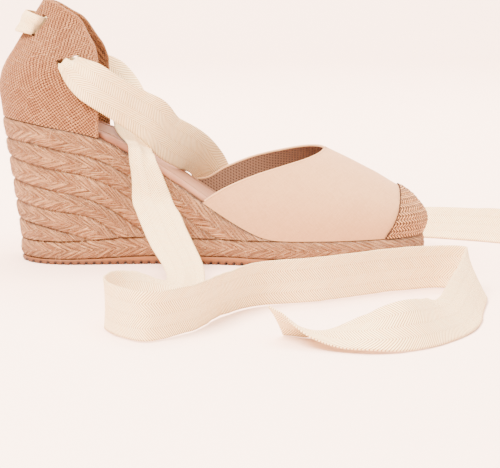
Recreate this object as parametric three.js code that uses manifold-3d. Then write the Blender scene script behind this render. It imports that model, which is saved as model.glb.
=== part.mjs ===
// Wedge espadrille with a closed toe and two flat ribbon ties, right foot.
// Millimetres. +X runs to the toe, -Y is the outer side, +Z is up, the floor is z = 0.
import * as THREE from "three";
import Module from "manifold-3d";

const wasm = await Module();
wasm.setup();
const { Manifold, Mesh: SolidMesh } = wasm;

// Driving sizes
const SOLE_LENGTH = 232;
const BALL_WIDTH = 79;
const HEEL_WIDTH = 62;
const PLATFORM = 14.2;
const SEAT_HEIGHT = 82.5;
const BACK_LEAN = 9.4;
const INSTEP_HEIGHT = 63;
const BACK_TOP = 146.5;
const GAP = 0.3;

const OUTSOLE_THICK = 4.4;
const OUTSOLE_INSET = 0.7;
const RIB_PITCH = 4.4;
const RIB_DEPTH = 1.1;
const BRAID_BULGE = 1.4;
const COURSE_HEIGHT = 11.3;
const COURSE_BULGE = 1.2;
const WEDGE_INSET = 0.2;
const INSOLE_THICK = 4;
const INSOLE_CLEAR = 0.4;
const INSOLE_EDGE = 1.3;

const UPPER_WALL = 1.5;
const FEATHER_INSET = 1.6;
const SIDE_SWELL = 1.4;
const TOE_SWELL = 2.6;
const CAP_WALL = 1.2;
const CAP_STEP = 0.7;
const CAP_LENGTH = 14.8;
const CAP_SEAM_BACK = 9.6;
const CAP_SEAM_BOW = 2.2;

const COUNTER_WALL = 2;
const COUNTER_INSET = 2;
const COUNTER_REACH = 46.5;
const INNER_LONGER = 2;
const PANEL_LENGTH = 33.5;
const SLOT_CLEAR = 3;

const RIBBON_WIDTH = 23;
const RIBBON_THICK = 1;
const FLOOR_GAP = 0.3;

// Places along the shoe: the toe stays where it is, the heel follows the sole's length
const TOE_X = 121;
const HEEL_X = TOE_X - SOLE_LENGTH;
const along = (share) => HEEL_X + SOLE_LENGTH * share;
const WEDGE_FRONT_X = along(0.597);
const VAMP_BACK_X = along(0.366);
const POLE_X = TOE_X - 33;
const CAP_SEAM_X = TOE_X - CAP_LENGTH;
const COUNTER_FRONT_X = HEEL_X + COUNTER_REACH;
const CUT_REACH = SOLE_LENGTH * 0.4;

// Slots of the back panel: middle, tilt in the side view and size of the opening
const SIDE_SLOT = { x: COUNTER_FRONT_X - 15.5, z: SEAT_HEIGHT + 31.1, tilt: 14, long: 13, high: 3.2 };
const BACK_SLOT = { x: COUNTER_FRONT_X - 33, z: BACK_TOP - 14, tilt: 53, long: 13, high: 3.2 };

// Plan of the sole by share of its length: halves as shares of the width that the foot has there
const PLAN = [
  { at: 0.0, outer: 0.5, inner: 0.5, centre: 0 },
  { at: 0.134, outer: 0.5, inner: 0.497, centre: 0 },
  { at: 0.263, outer: 0.465, inner: 0.44, centre: 0 },
  { at: 0.392, outer: 0.416, inner: 0.378, centre: 0 },
  { at: 0.478, outer: 0.409, inner: 0.381, centre: 0 },
  { at: 0.586, outer: 0.452, inner: 0.455, centre: 0.004 },
  { at: 0.672, outer: 0.476, inner: 0.515, centre: 0.01 },
  { at: 0.759, outer: 0.476, inner: 0.524, centre: 0.02 },
  { at: 0.845, outer: 0.468, inner: 0.505, centre: 0.033 },
  { at: 1.0, outer: 0.445, inner: 0.48, centre: 0.05 },
];
const HEEL_ROUND = 0.135;
const TOE_ROUND = 0.27;

// Heights along the shoe, shares of the outsole, the platform and the seat height
const HEIGHTS = [
  { at: -0.047, sole: 0.6, braid: 0.88, seat: 1.0 },
  { at: 0.004, sole: 0.6, braid: 0.89, seat: 0.99 },
  { at: 0.047, sole: 0.62, braid: 0.92, seat: 0.973 },
  { at: 0.138, sole: 0.66, braid: 0.96, seat: 0.914 },
  { at: 0.194, sole: 0.74, braid: 1.0, seat: 0.873 },
  { at: 0.228, sole: 0.82, braid: 1.05, seat: 0.832 },
  { at: 0.28, sole: 0.93, braid: 1.1, seat: 0.744 },
  { at: 0.328, sole: 1.0, braid: 1.11, seat: 0.661 },
  { at: 0.384, sole: 1.0, braid: 1.08, seat: 0.555 },
  { at: 0.448, sole: 1.0, braid: 1.05, seat: 0.427 },
  { at: 0.517, sole: 1.0, braid: 1.03, seat: 0.3 },
  { at: 0.556, sole: 0.95, braid: 1.02, seat: 0.238 },
  { at: 0.595, sole: 0.88, braid: 1.01, seat: 0.19 },
  { at: 0.625, sole: 0.83, braid: 0.99, seat: 0.172 },
  { at: 0.677, sole: 0.8, braid: 0.97, seat: 0.1665 },
  { at: 1.02, sole: 0.8, braid: 0.97, seat: 0.1665 },
];

// Upper over the forefoot: top of the last and its place across, both topline edges
const INSTEP = [
  { at: 0.366, ridge: 1.9, across: 0.03, outerTop: 0.5, innerTop: 0.72 },
  { at: 0.401, ridge: 1.82, across: 0.03, outerTop: 0.5, innerTop: 0.67 },
  { at: 0.435, ridge: 1.74, across: 0.03, outerTop: 0.5, innerTop: 0.663 },
  { at: 0.453, ridge: 1.7, across: 0.03, outerTop: 0.553, innerTop: 0.67 },
  { at: 0.504, ridge: 1.57, across: 0.035, outerTop: 0.678, innerTop: 0.765 },
  { at: 0.578, ridge: 1.4, across: 0.04, outerTop: 0.798, innerTop: 0.866 },
  { at: 0.651, ridge: 1.22, across: 0.045, outerTop: 0.878, innerTop: 0.93 },
  { at: 0.707, ridge: 1.095, across: 0.05, outerTop: 0.932, innerTop: 0.973 },
  { at: 0.754, ridge: 0.997, across: 0.05, outerTop: 0.99, innerTop: 1.0 },
  { at: 0.81, ridge: 0.897, across: 0.05, outerTop: 1.2, innerTop: 1.2 },
  { at: 0.871, ridge: 0.781, across: 0.05, outerTop: 1.6, innerTop: 1.6 },
  { at: 0.935, ridge: 0.658, across: 0.05, outerTop: 1.9, innerTop: 1.9 },
  { at: 1.03, ridge: 0.56, across: 0.05, outerTop: 2.2, innerTop: 2.2 },
];
const SIDE_FULLNESS = 2.35;
const TOE_FULLNESS = 3.8;

// Back panel by share of its height over the seat: how far its back line leans out behind the
// heel, half its width, how much its front draws in and how round it is at the back
const BACK = [
  { up: -0.227, lean: 0.787, half: 0.475, close: 0.0, round: 0.49 },
  { up: -0.008, lean: 0.915, half: 0.475, close: 0.0, round: 0.49 },
  { up: 0.117, lean: 1.021, half: 0.468, close: 0.01, round: 0.48 },
  { up: 0.242, lean: 1.117, half: 0.458, close: 0.02, round: 0.47 },
  { up: 0.352, lean: 1.011, half: 0.44, close: 0.04, round: 0.46 },
  { up: 0.461, lean: 0.723, half: 0.41, close: 0.08, round: 0.44 },
  { up: 0.57, lean: 0.255, half: 0.355, close: 0.18, round: 0.41 },
  { up: 0.68, lean: -0.213, half: 0.29, close: 0.28, round: 0.36 },
  { up: 0.836, lean: -0.872, half: 0.195, close: 0.42, round: 0.28 },
  { up: 1.039, lean: -1.755, half: 0.115, close: 0.5, round: 0.2 },
];
// Side view of the panel's free edge, from the foot bed up the front and back to the point
const PANEL_EDGE = [
  { back: 0, up: -0.258 },
  { back: 0, up: 0.461 },
  { back: 0.045, up: 0.578 },
  { back: 0.164, up: 0.695 },
  { back: 0.328, up: 0.836 },
  { back: 0.522, up: 0.902 },
  { back: 0.761, up: 0.977 },
  { back: 0.925, up: 1 },
  { back: 1, up: 1 },
];
const panelHeight = (up) => mix(SEAT_HEIGHT, BACK_TOP, up);

const MATERIALS = {
  outsole: { color: 0xc99b6a, roughness: 0.75 },
  base_braid: { color: 0xc8a184, roughness: 0.95 },
  wedge: { color: 0xc39c7e, roughness: 0.95 },
  insole: { color: 0xb9a597, roughness: 0.7 },
  vamp: { color: 0xd3c4b5, roughness: 0.9 },
  toe_cap: { color: 0xbd9168, roughness: 0.95 },
  heel_counter: { color: 0xc79b74, roughness: 0.95 },
  heel_loop: { color: 0xf0e6da, roughness: 0.9 },
  tie_near: { color: 0xf3e8da, roughness: 0.9 },
  tie_far: { color: 0xf3e8da, roughness: 0.9 },
};

// Smooth value of one column of a table at x, no overshoot between rows
function lookup(rows, key, column, x) {
  const last = rows.length - 1;
  if (x <= rows[0][key]) return rows[0][column];
  if (x >= rows[last][key]) return rows[last][column];
  let i = 0;
  while (x > rows[i + 1][key]) i += 1;
  const slope = (k) => {
    return (rows[k + 1][column] - rows[k][column]) / (rows[k + 1][key] - rows[k][key]);
  };
  const tangent = (k) => {
    if (k === 0) return slope(0);
    if (k === last) return slope(last - 1);
    const before = slope(k - 1);
    const after = slope(k);
    return before * after <= 0 ? 0 : (2 * before * after) / (before + after);
  };
  const step = rows[i + 1][key] - rows[i][key];
  const t = (x - rows[i][key]) / step;
  const a = rows[i][column];
  const b = rows[i + 1][column];
  const m0 = tangent(i) * step;
  const m1 = tangent(i + 1) * step;
  return a * (2 * t ** 3 - 3 * t ** 2 + 1) + m0 * (t ** 3 - 2 * t ** 2 + t)
    + b * (3 * t ** 2 - 2 * t ** 3) + m1 * (t ** 3 - t ** 2);
}

const mix = (a, b, t) => a + (b - a) * t;

function smooth(a, b, x) {
  const t = Math.min(1, Math.max(0, (x - a) / (b - a)));
  return t * t * (3 - 2 * t);
}

const shareAt = (x) => (x - HEEL_X) / SOLE_LENGTH;
const soleTop = (x) => OUTSOLE_THICK * lookup(HEIGHTS, "at", "sole", shareAt(x));
const braidTop = (x) => PLATFORM * lookup(HEIGHTS, "at", "braid", shareAt(x));
const seatEdge = (x) => SEAT_HEIGHT * lookup(HEIGHTS, "at", "seat", shareAt(x));
const ridgeTop = (x) => INSTEP_HEIGHT * lookup(INSTEP, "at", "ridge", shareAt(x));
const ridgeAcross = (x) => BALL_WIDTH * lookup(INSTEP, "at", "across", shareAt(x));

// Half width of the sole on one side, rounded off at both ends
function halfWidth(x, side, inset) {
  const heel = HEEL_X + inset;
  const toe = TOE_X - inset;
  const at = shareAt(x);
  const footWidth = mix(HEEL_WIDTH, BALL_WIDTH, smooth(0.263, 0.586, at));
  const wide = footWidth * lookup(PLAN, "at", side, at) - inset;
  const fromHeel = Math.max(0, 1 - (x - heel) / (HEEL_ROUND * SOLE_LENGTH));
  const fromToe = Math.max(0, 1 - (toe - x) / (TOE_ROUND * SOLE_LENGTH));
  const heelPart = Math.max(0, 1 - Math.min(1, fromHeel) ** 2.15) ** (1 / 2.15);
  const toePart = Math.max(0, 1 - Math.min(1, fromToe) ** 2.1) ** (1 / 2.1);
  return wide * heelPart * toePart;
}

const centreLine = (x) => BALL_WIDTH * lookup(PLAN, "at", "centre", shareAt(x));

// Point of the sole's outline: turn 0 is the toe, 0.5 the heel, the outer side comes first
function outline(turn, inset) {
  const reach = (1 + Math.cos(2 * Math.PI * turn)) / 2;
  const x = mix(HEEL_X + inset, TOE_X - inset, reach);
  const outer = turn <= 0.5;
  const half = halfWidth(x, outer ? "outer" : "inner", inset);
  return [x, centreLine(x) + (outer ? -half : half)];
}

// The heel leans back as it rises from the platform
function leanBack(x, z) {
  const rise = Math.max(0, (z - PLATFORM) / (SEAT_HEIGHT - PLATFORM));
  return -BACK_LEAN * smooth(along(0.285), HEEL_X, x) * rise;
}

// Height of the foot bed's edge under a point that has already leaned back
function seatBelow(x) {
  let upright = x;
  for (let i = 0; i < 6; i += 1) upright = x - leanBack(upright, seatEdge(upright));
  return seatEdge(upright);
}

// Closed solid from rings of points: rings run on, every ring has the same count
function loft(rings) {
  const count = rings[0].length;
  const points = rings.flat();
  const faces = [];
  for (let r = 0; r + 1 < rings.length; r += 1) {
    for (let i = 0; i < count; i += 1) {
      const j = (i + 1) % count;
      const a = r * count + i;
      const b = r * count + j;
      faces.push([a, b, b + count], [a, b + count, a + count]);
    }
  }
  const cap = (start, flip) => {
    for (let i = 0; i < count / 2 - 1; i += 1) {
      const a = start + i;
      const b = start + i + 1;
      const c = start + count - 1 - i;
      const d = start + count - 2 - i;
      for (const face of [[a, c, b], [b, c, d]]) {
        if (new Set(face).size === 3) faces.push(flip ? [face[0], face[2], face[1]] : face);
      }
    }
  };
  cap(0, false);
  cap((rings.length - 1) * count, true);
  return solid(points, faces);
}

// Joins equal points, drops empty faces and makes a manifold solid with its faces out
function solid(points, faces) {
  const index = new Map();
  const kept = [];
  const to = points.map((p) => {
    const key = p.map((v) => Math.round(v * 1000)).join(",");
    if (!index.has(key)) {
      index.set(key, kept.length);
      kept.push(p);
    }
    return index.get(key);
  });
  let list = faces.map((f) => f.map((i) => to[i])).filter((f) => new Set(f).size === 3);
  let volume = 0;
  for (const [a, b, c] of list) {
    const [p, q, r] = [kept[a], kept[b], kept[c]];
    volume += p[0] * (q[1] * r[2] - q[2] * r[1]) - p[1] * (q[0] * r[2] - q[2] * r[0])
      + p[2] * (q[0] * r[1] - q[1] * r[0]);
  }
  if (volume < 0) list = list.map(([a, b, c]) => [a, c, b]);
  return new Manifold(new SolidMesh({
    numProp: 3,
    vertProperties: new Float32Array(kept.flat()),
    triVerts: new Uint32Array(list.flat()),
  }));
}

// Thin wall, tube or block whose sections follow x: low and high give z, left and right give y
function block(stations, low, high, left, right) {
  return loft(stations.map((x) => [
    [x, left(x), low(x)], [x, right(x), low(x)], [x, right(x), high(x)], [x, left(x), high(x)],
  ]));
}

function steps(from, to, count) {
  return Array.from({ length: count + 1 }, (_, i) => mix(from, to, i / count));
}

// Outsole: ribs run across, deeper in the waist and forefoot than under the heel
function makeOutsole() {
  const inset = OUTSOLE_INSET;
  const ribs = Math.round(SOLE_LENGTH / RIB_PITCH);
  const start = HEEL_X + inset;
  const end = TOE_X - inset;
  const rings = [];
  const section = (x, bottom) => {
    const mid = centreLine(x);
    const top = soleTop(x);
    const out = mid - Math.max(0.4, halfWidth(x, "outer", inset));
    const inn = mid + Math.max(0.4, halfWidth(x, "inner", inset));
    const soft = mix(bottom, top, 0.35);
    const squeeze = 0.8;
    return [
      [x, mix(mid, out, 1 - squeeze / 30), bottom], [x, mix(mid, inn, 1 - squeeze / 30), bottom],
      [x, inn, soft], [x, inn, top], [x, out, top], [x, out, soft],
    ];
  };
  for (const x of [start + 0.15, start + 1, start + 2.4]) rings.push(section(x, 0.5));
  for (let k = 1; k < ribs; k += 1) {
    const x = mix(start, end, k / ribs);
    const depth = RIB_DEPTH * mix(0.45, 1, smooth(along(0.134), along(0.306), x));
    rings.push(section(x - RIB_PITCH * 0.24, 0));
    rings.push(section(x + RIB_PITCH * 0.24, 0));
    if (k + 1 < ribs) rings.push(section(x + RIB_PITCH * 0.5, depth));
  }
  for (const x of [end - 2.4, end - 1, end - 0.15]) rings.push(section(x, 0.5));
  return loft(rings);
}

// Bottom braid: one filled platform, its wall swells once from the outsole to the top edge
function makeBaseBraid() {
  const around = 88;
  const swell = [0, 0.55, 0.92, 1, 0.92, 0.55, 0];
  const rings = swell.map((share, row) => {
    const inset = BRAID_BULGE * (1 - share);
    return Array.from({ length: around }, (_, i) => {
      const [x, y] = outline((i + 0.5) / around, inset);
      const low = soleTop(x) + GAP;
      const high = braidTop(x);
      return [x, y, mix(low, high, row / (swell.length - 1))];
    });
  });
  return loft(rings);
}

const COURSE_PROFILE = [
  { at: 0, out: 0 },
  { at: 0.22, out: 0.8 },
  { at: 0.5, out: 1 },
  { at: 0.78, out: 0.8 },
];

// Wrapped wedge: courses of braid run level with the foot bed's edge, the bottom braid cuts them off
function makeWedge() {
  const courses = 8;
  const around = 58;
  const stretch = (x) => mix(1.03, 1.27, smooth(along(0.134), along(0.457), x));
  const place = (i) => {
    const t = i / around;
    const turn = mix(0.19, 0.81, t);
    const back = outline(turn, COURSE_BULGE);
    return back[0] > WEDGE_FRONT_X ? null : turn;
  };
  const turns = Array.from({ length: around + 1 }, (_, i) => place(i)).filter((t) => t !== null);
  const rows = [];
  for (let c = 0; c < courses; c += 1) {
    for (const step of COURSE_PROFILE) rows.push({ depth: (c + step.at) * COURSE_HEIGHT, out: step.out });
  }
  rows.push({ depth: courses * COURSE_HEIGHT, out: 0 });
  const rings = rows.map((row) => turns.map((turn) => {
    const inset = COURSE_BULGE * (1 - row.out) + WEDGE_INSET;
    const [x, y] = outline(turn, inset);
    const z = seatEdge(x) - row.depth * stretch(x);
    return [x + leanBack(x, z), y, z];
  }));
  const body = loft(rings);
  const floor = block(steps(HEEL_X - 20, WEDGE_FRONT_X + 30, 38), () => -CUT_REACH,
    (x) => braidTop(x) + GAP, () => -CUT_REACH, () => CUT_REACH);
  return largest(body.subtract(floor));
}

// How far the foot bed stands in from the wedge's edge: under the back panel and the vamp
function bedInset(x) {
  const heel = COUNTER_WALL + COUNTER_INSET + INSOLE_CLEAR;
  const fore = FEATHER_INSET + UPPER_WALL + INSOLE_CLEAR + GAP;
  const panelEnd = COUNTER_FRONT_X + INNER_LONGER;
  const behind = mix(heel, INSOLE_EDGE, smooth(panelEnd - 1.5, panelEnd + 6.5, x));
  return mix(behind, fore, smooth(VAMP_BACK_X + 2, VAMP_BACK_X + 10, x));
}

const bedLow = (x) => Math.max(seatEdge(x), braidTop(x)) + GAP;

function makeInsole() {
  const around = 84;
  const sections = [
    { inset: 0.9, up: 0 }, { inset: 0, up: 0.3 }, { inset: 0, up: 0.62 }, { inset: 0.8, up: 0.93 },
    { inset: 2.2, up: 1 },
  ];
  const rings = sections.map((s) => Array.from({ length: around }, (_, i) => {
    const turn = (i + 0.5) / around;
    const rough = outline(turn, 3)[0];
    const [x, y] = outline(turn, bedInset(rough) + s.inset);
    const low = bedLow(x);
    const thick = INSOLE_THICK * mix(1, 0.75, smooth(along(0.565), along(0.694), x));
    return [x + leanBack(x, low), y, low + thick * s.up];
  }));
  return loft(rings);
}

// The last over the forefoot as a closed form; inset moves its whole skin inwards
function lastForm(inset, drop) {
  const sideCount = 16;
  const toeCount = 11;
  const levels = 9;
  const stations = steps(VAMP_BACK_X, POLE_X, sideCount);
  const turns = steps(0, 1, toeCount).slice(1);
  const tipX = TOE_X - FEATHER_INSET - inset;
  const toeXs = turns.map((t) => mix(POLE_X, tipX, Math.sin(t * Math.PI / 2)));
  const xs = [...stations, ...toeXs];
  const feather = (x, side) => {
    const half = halfWidth(x, side, FEATHER_INSET + inset);
    return centreLine(x) + (side === "outer" ? -half : half);
  };
  const column = (x, side) => {
    const poleX = Math.min(x, POLE_X);
    const poleY = ridgeAcross(poleX);
    const foot = [x, x >= tipX ? centreLine(x) : feather(x, side)];
    const ahead = Math.max(0, Math.min(1, (x - POLE_X) / (tipX - POLE_X)));
    const power = mix(SIDE_FULLNESS, TOE_FULLNESS, ahead ** 1.5);
    const swell = mix(SIDE_SWELL, TOE_SWELL, ahead);
    const length = Math.hypot(foot[0] - poleX, foot[1] - poleY);
    const bottom = Math.max(seatEdge(foot[0]), braidTop(foot[0])) + GAP;
    const skin = Array.from({ length: levels + 1 }, (_, k) => {
      const angle = (k / levels) * (Math.PI / 2);
      const wide = k === levels ? 0 : Math.cos(angle) ** (2 / power);
      const high = Math.sin(angle) ** (2 / power);
      const swelling = (swell / length) * Math.sin(Math.PI * Math.min(1, high / 0.75));
      const share = wide === 0 ? 0 : wide + swelling;
      const px = mix(poleX, foot[0], share);
      const py = mix(poleY, foot[1], share);
      return [px, py, mix(bottom, ridgeTop(px) - inset, high)];
    });
    return [[skin[0][0], skin[0][1], bottom - drop], ...skin];
  };
  const outerSide = xs.map((x) => column(x, "outer"));
  const innerSide = xs.map((x) => column(x, "inner"));
  const points = [];
  const faces = [];
  const sheet = (rows, flip) => {
    const base = points.length;
    for (const row of rows) points.push(...row);
    const wide = rows[0].length;
    for (let r = 0; r + 1 < rows.length; r += 1) {
      for (let k = 0; k + 1 < wide; k += 1) {
        const a = base + r * wide + k;
        const pair = [[a, a + wide, a + wide + 1], [a, a + wide + 1, a + 1]];
        for (const f of pair) faces.push(flip ? [f[0], f[2], f[1]] : f);
      }
    }
  };
  sheet(outerSide, false);
  sheet(innerSide, true);
  sheet(xs.map((_, i) => [innerSide[i][0], outerSide[i][0]]), false);
  sheet([outerSide[0], innerSide[0]], true);
  return solid(points, faces);
}

// Everything above the topline, its height differs between the outer and the inner side
function toplineCutter() {
  const rise = (side) => (x) => INSTEP_HEIGHT * lookup(INSTEP, "at", side, shareAt(x));
  const low = { outer: rise("outerTop"), inner: rise("innerTop") };
  const mid = BALL_WIDTH / 4;
  const high = INSTEP_HEIGHT * 3;
  return loft(steps(VAMP_BACK_X - 12, along(0.79), 17).map((x) => [
    [x, -CUT_REACH, low.outer(x)], [x, -mid, low.outer(x)],
    [x, mid, low.inner(x)], [x, CUT_REACH, low.inner(x)],
    [x, CUT_REACH, high], [x, mid, high], [x, -mid, high], [x, -CUT_REACH, high],
  ]));
}

// Region of the toe cap: ahead of a seam that runs back as it comes down the sides
function capRegion(back) {
  const high = ridgeTop(CAP_SEAM_X);
  const seam = (z) => {
    const down = Math.min(1, Math.max(0, (high - z) / (high - PLATFORM)));
    return CAP_SEAM_X - CAP_SEAM_BACK * down ** CAP_SEAM_BOW - back;
  };
  const ahead = TOE_X + CUT_REACH;
  return loft([-GAP, ...steps(PLATFORM, high, 9), CUT_REACH].map((z) => [
    [seam(z), -CUT_REACH, z], [ahead, -CUT_REACH, z], [ahead, CUT_REACH, z], [seam(z), CUT_REACH, z],
  ]));
}

function makeVamp() {
  const shell = lastForm(0, 0).subtract(lastForm(UPPER_WALL, 6));
  const rebate = capRegion(GAP).subtract(lastForm(CAP_STEP, 3));
  return largest(shell.subtract(toplineCutter()).subtract(rebate));
}

function makeToeCap() {
  const outer = lastForm(CAP_STEP - GAP - CAP_WALL, 0);
  const inner = lastForm(CAP_STEP - GAP, 6);
  return largest(outer.subtract(inner).intersect(capRegion(0)));
}

// Keeps the biggest body and leaves the crumbs of a cut out
function largest(form) {
  const bodies = form.decompose();
  bodies.sort((a, b) => b.volume() - a.volume());
  return bodies[0];
}

// Outer or inner skin of the back panel: a U that narrows and leans in as it rises
function counterForm(inset) {
  const round = 9;
  const run = 3;
  const frontX = COUNTER_FRONT_X + 12;
  const levels = [...steps(-0.227, 0.117, 2), ...steps(0.18, 1.039, 10)];
  const rings = levels.map((up) => {
    const z = panelHeight(up);
    const back = HEEL_X - BACK_LEAN * lookup(BACK, "up", "lean", up) + inset;
    const half = HEEL_WIDTH * lookup(BACK, "up", "half", up) - inset;
    const close = lookup(BACK, "up", "close", up);
    const curve = HEEL_WIDTH * lookup(BACK, "up", "round", up);
    const side = [];
    for (let k = 0; k <= round; k += 1) {
      const angle = ((k + 0.5) / (round + 0.5)) * (Math.PI / 2);
      side.push([back + curve * (1 - Math.cos(angle) ** 0.93), half * Math.sin(angle) ** 0.93]);
    }
    const join = back + curve;
    for (let k = 1; k <= run; k += 1) {
      const x = mix(join, frontX, k / run);
      side.push([x, half * (1 - close * smooth(join - 6, frontX, x))]);
    }
    const inner = side.map(([x, y]) => [x, y, z]);
    const outer = side.map(([x, y]) => [x, -y, z]);
    return [...outer.reverse(), ...inner];
  });
  return loft(rings);
}

// Everything inside the panel's side view, between two places across the shoe
function panelPrism(longer, from, to) {
  const edge = PANEL_EDGE.map((p) => [
    COUNTER_FRONT_X - PANEL_LENGTH * p.back + longer * (1 - p.back) ** 2, panelHeight(p.up),
  ]);
  const behind = HEEL_X - 3 * BACK_LEAN;
  const low = panelHeight(-0.35);
  const shape = new THREE.Shape([[behind, low], [COUNTER_FRONT_X + longer, low], ...edge, [behind, BACK_TOP]]
    .map(([x, z]) => new THREE.Vector2(x, z)));
  const geometry = new THREE.ExtrudeGeometry(shape, { depth: to - from, bevelEnabled: false });
  geometry.rotateX(Math.PI / 2);
  geometry.translate(0, to, 0);
  return fromGeometry(geometry);
}

function fromGeometry(geometry) {
  const flat = geometry.index ? geometry.toNonIndexed() : geometry;
  const position = flat.getAttribute("position");
  const points = [];
  const faces = [];
  for (let i = 0; i < position.count; i += 1) {
    points.push([position.getX(i), position.getY(i), position.getZ(i)]);
    if (i % 3 === 2) faces.push([i - 2, i - 1, i]);
  }
  return solid(points, faces);
}

function slotCutter(slot, from, to) {
  const box = new THREE.BoxGeometry(slot.long, to - from, slot.high);
  box.rotateY(THREE.MathUtils.degToRad(-slot.tilt));
  box.translate(slot.x, (from + to) / 2, slot.z);
  return fromGeometry(box);
}

function makeCounter() {
  const shell = counterForm(0).subtract(counterForm(COUNTER_WALL));
  const seat = block(steps(HEEL_X - 3 * BACK_LEAN, COUNTER_FRONT_X + 24, 40), () => 0,
    (x) => seatBelow(x) + GAP, () => -CUT_REACH, () => CUT_REACH);
  const sides = panelPrism(0, -CUT_REACH, 0).add(panelPrism(INNER_LONGER, 0, CUT_REACH));
  let panel = shell.intersect(sides).subtract(seat);
  for (const slot of [SIDE_SLOT, BACK_SLOT]) {
    for (const [from, to] of [[-CUT_REACH, -SLOT_CLEAR], [SLOT_CLEAR, CUT_REACH]]) {
      panel = panel.subtract(slotCutter(slot, from, to));
    }
  }
  return largest(panel);
}

// Routes of the ribbon: the middle of each row, the way its width points, the share of its width
const NEAR_TIE = [
  { x: -80.3, y: -18, z: 112.6, wx: 0.97, wy: 0, wz: 0.24, part: 0.5 },
  { x: -80.2, y: -21.4, z: 113.4, wx: 0.97, wy: 0, wz: 0.24, part: 0.5 },
  { x: -80, y: -25.4, z: 113.6, wx: 0.97, wy: 0, wz: 0.24, part: 0.5 },
  { x: -79, y: -28.2, z: 111.6, wx: 0.93, wy: 0, wz: 0.36, part: 0.58 },
  { x: -74, y: -29.6, z: 107, wx: 0.76, wy: 0, wz: 0.64, part: 0.82 },
  { x: -66, y: -31.6, z: 101.5, wx: 0.45, wy: 0.02, wz: 0.89, part: 1 },
  { x: -54.5, y: -27.5, z: 93.6, wx: 0.33, wy: 0.05, wz: 0.94, part: 1 },
  { x: -43.5, y: -20, z: 86.2, wx: 0.33, wy: 0.06, wz: 0.94, part: 1 },
  { x: -33.8, y: -13, z: 79.4, wx: 0.34, wy: 0.15, wz: 0.92, part: 1 },
  { x: -26, y: -3, z: 69.2, wx: 0.42, wy: 0.4, wz: 0.8, part: 1 },
  { x: -17.5, y: 9.5, z: 62.6, wx: 0.54, wy: 0.5, wz: 0.68, part: 1 },
  { x: -11, y: 20.5, z: 57.4, wx: 0.74, wy: 0.42, wz: 0.5, part: 1 },
  { x: -5.5, y: 29.5, z: 51, wx: 0.9, wy: 0.28, wz: 0.3, part: 1 },
  { x: -1, y: 36.5, z: 41, wx: 0.98, wy: 0.1, wz: 0.1, part: 1 },
  { x: 3.5, y: 41, z: 29, wx: 1, wy: 0, wz: 0, part: 1 },
  { x: 6, y: 45.5, z: 14, wx: 1, wy: -0.05, wz: 0, part: 1 },
  { x: 11, y: 52.5, z: 4, wx: 0.9, wy: -0.35, wz: -0.1, part: 1 },
  { x: 22, y: 61, z: 4.5, wx: 0.6, wy: -0.65, wz: -0.4, part: 1 },
  { x: 38, y: 68, z: 7, wx: 0.25, wy: -0.75, wz: -0.6, part: 1 },
  { x: 58, y: 72.5, z: 8.6, wx: 0.05, wy: -0.7, wz: -0.7, part: 1 },
  { x: 85, y: 75.5, z: 8.8, wx: 0, wy: -0.7, wz: -0.7, part: 1 },
  { x: 110, y: 76, z: 8.8, wx: 0, wy: -0.7, wz: -0.7, part: 1 },
  { x: 130, y: 73, z: 8.8, wx: 0, wy: -0.7, wz: -0.7, part: 1 },
  { x: 156, y: 61, z: 9, wx: 0, wy: -0.67, wz: -0.73, part: 1 },
  { x: 172, y: 51.5, z: 9.4, wx: 0, wy: -0.62, wz: -0.77, part: 1 },
  { x: 192, y: 43, z: 9.4, wx: 0, wy: -0.6, wz: -0.78, part: 1 },
  { x: 218, y: 40, z: 9.4, wx: 0, wy: -0.6, wz: -0.78, part: 1 },
  { x: 244, y: 47, z: 9.2, wx: 0, wy: -0.6, wz: -0.78, part: 1 },
  { x: 264, y: 65, z: 9, wx: 0.3, wy: -0.6, wz: -0.7, part: 1 },
  { x: 274, y: 90, z: 8.8, wx: 0.6, wy: -0.3, wz: -0.7, part: 1 },
  { x: 276, y: 118, z: 8.8, wx: 0.7, wy: 0, wz: -0.7, part: 1 },
];
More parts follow.
